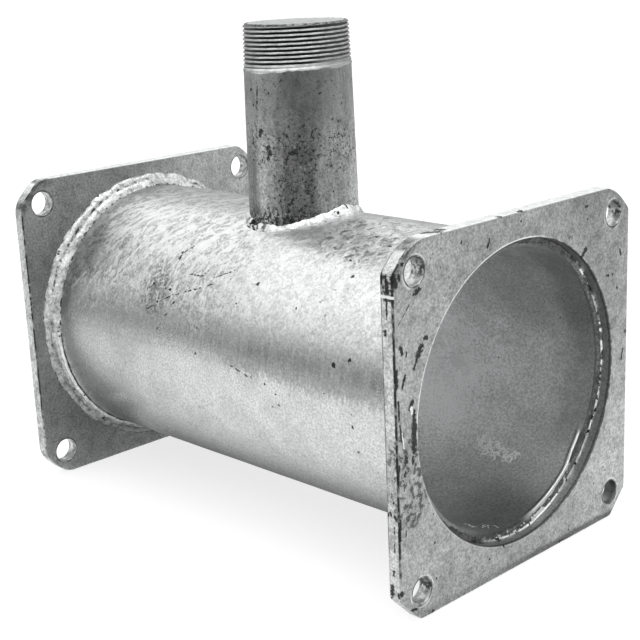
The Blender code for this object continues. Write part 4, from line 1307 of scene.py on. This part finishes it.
def wall_surface(tree):
    highest, brightest = WALL_SHADES[-1]
    place = add_node(tree, "ShaderNodeTexCoord", {}, "Object")
    height = add_node(tree, "ShaderNodeSeparateXYZ", {0: place}, 2)
    share = add_node(tree, "ShaderNodeMapRange", {"Value": height, "From Max": highest})
    shades = tree.nodes.new("ShaderNodeFloatCurve")
    curve = shades.mapping.curves[0]
    for i, (height_up, brightness) in enumerate(WALL_SHADES):
        spot = (height_up / highest, brightness / brightest)
        if i in (0, len(WALL_SHADES) - 1):
            curve.points[-1 if i else 0].location = spot
        else:
            curve.points.new(*spot)
    shades.mapping.update()
    tree.links.new(share, shades.inputs["Value"])
    strength = add_node(tree, "ShaderNodeMath", {0: shades.outputs[0], 1: brightest}, operation="MULTIPLY")
    return add_node(tree, "ShaderNodeEmission", {"Strength": strength})


wall_points = []
for height_up in (WALL_SHADES[0][0], WALL_SHADES[-1][0]):
    for step in range(WALL_STEPS):
        angle = math.tau * step / WALL_STEPS
        wall_points.append((WALL_RADIUS * math.cos(angle), WALL_RADIUS * math.sin(angle),
                            height_up + WALL_LIFT))
wall_faces = [(i, (i + 1) % WALL_STEPS, WALL_STEPS + (i + 1) % WALL_STEPS, WALL_STEPS + i)
              for i in range(WALL_STEPS)]
wall = stage_piece("studio_wall", wall_points, wall_faces, "studio_wall", wall_surface)
wall.visible_camera = False
wall.visible_diffuse = False
wall.visible_transmission = False
wall.visible_shadow = False


# Light: even light from all round, as in a white room, and one large soft box overhead. The camera and
# the zinc's reflections see the room as plain white; what it casts on matt faces is a little less.
ROOM_LIGHT = 0.80
SOFT_BOX_SIZE = 1.2
SOFT_BOX_HEIGHT = 1.6
SOFT_BOX_BRIGHTNESS = 1.4

world = bpy.data.worlds.new("studio")
bpy.context.scene.world = world
world.use_nodes = True
sky = world.node_tree.nodes["Background"]
sky.inputs["Color"].default_value = (1.0, 1.0, 1.0, 1.0)
level = add_node(world.node_tree, "ShaderNodeMix", {0: seen_directly(world.node_tree), 2: ROOM_LIGHT, 3: 1.0})
world.node_tree.links.new(level, sky.inputs["Strength"])

soft_box_lamp = bpy.data.lights.new("soft_box", "AREA")
soft_box_lamp.shape = "SQUARE"
soft_box_lamp.size = SOFT_BOX_SIZE
soft_box_lamp.energy = SOFT_BOX_BRIGHTNESS * math.pi * SOFT_BOX_SIZE ** 2
soft_box = bpy.data.objects.new("soft_box", soft_box_lamp)
soft_box.location = (0.0, 0.0, axis_height + SOFT_BOX_HEIGHT)
soft_box.visible_camera = False
bpy.context.scene.collection.objects.link(soft_box)


# Camera: a little above the tee, off its front right corner, and turned slightly on its own axis.
# It stands where the photograph was taken from, as fitted to the tee's edges and corners.
CAMERA_PLACE = (0.5597, -0.53136, 0.32188)
CAMERA_AZIMUTH = math.radians(46.03)
CAMERA_ELEVATION = math.radians(15.505)
CAMERA_ROLL = math.radians(-2.551)
CAMERA_LENS = 76.81                  # mm, for a picture 36 mm wide

turn = Matrix.Rotation(CAMERA_AZIMUTH, 3, "Z") @ Matrix.Rotation(math.pi / 2 - CAMERA_ELEVATION, 3, "X")
turn = turn @ Matrix.Rotation(CAMERA_ROLL, 3, "Z")
camera_data = bpy.data.cameras.new("camera")
camera_data.lens = CAMERA_LENS
camera_data.sensor_width = 36.0
camera_data.clip_start = 0.01
camera_data.clip_end = 200.0
camera = bpy.data.objects.new("camera", camera_data)
camera.matrix_world = Matrix.Translation(CAMERA_PLACE) @ turn.to_4x4()
bpy.context.scene.collection.objects.link(camera)
bpy.context.scene.camera = camera
bpy.context.scene.view_settings.view_transform = "Standard"
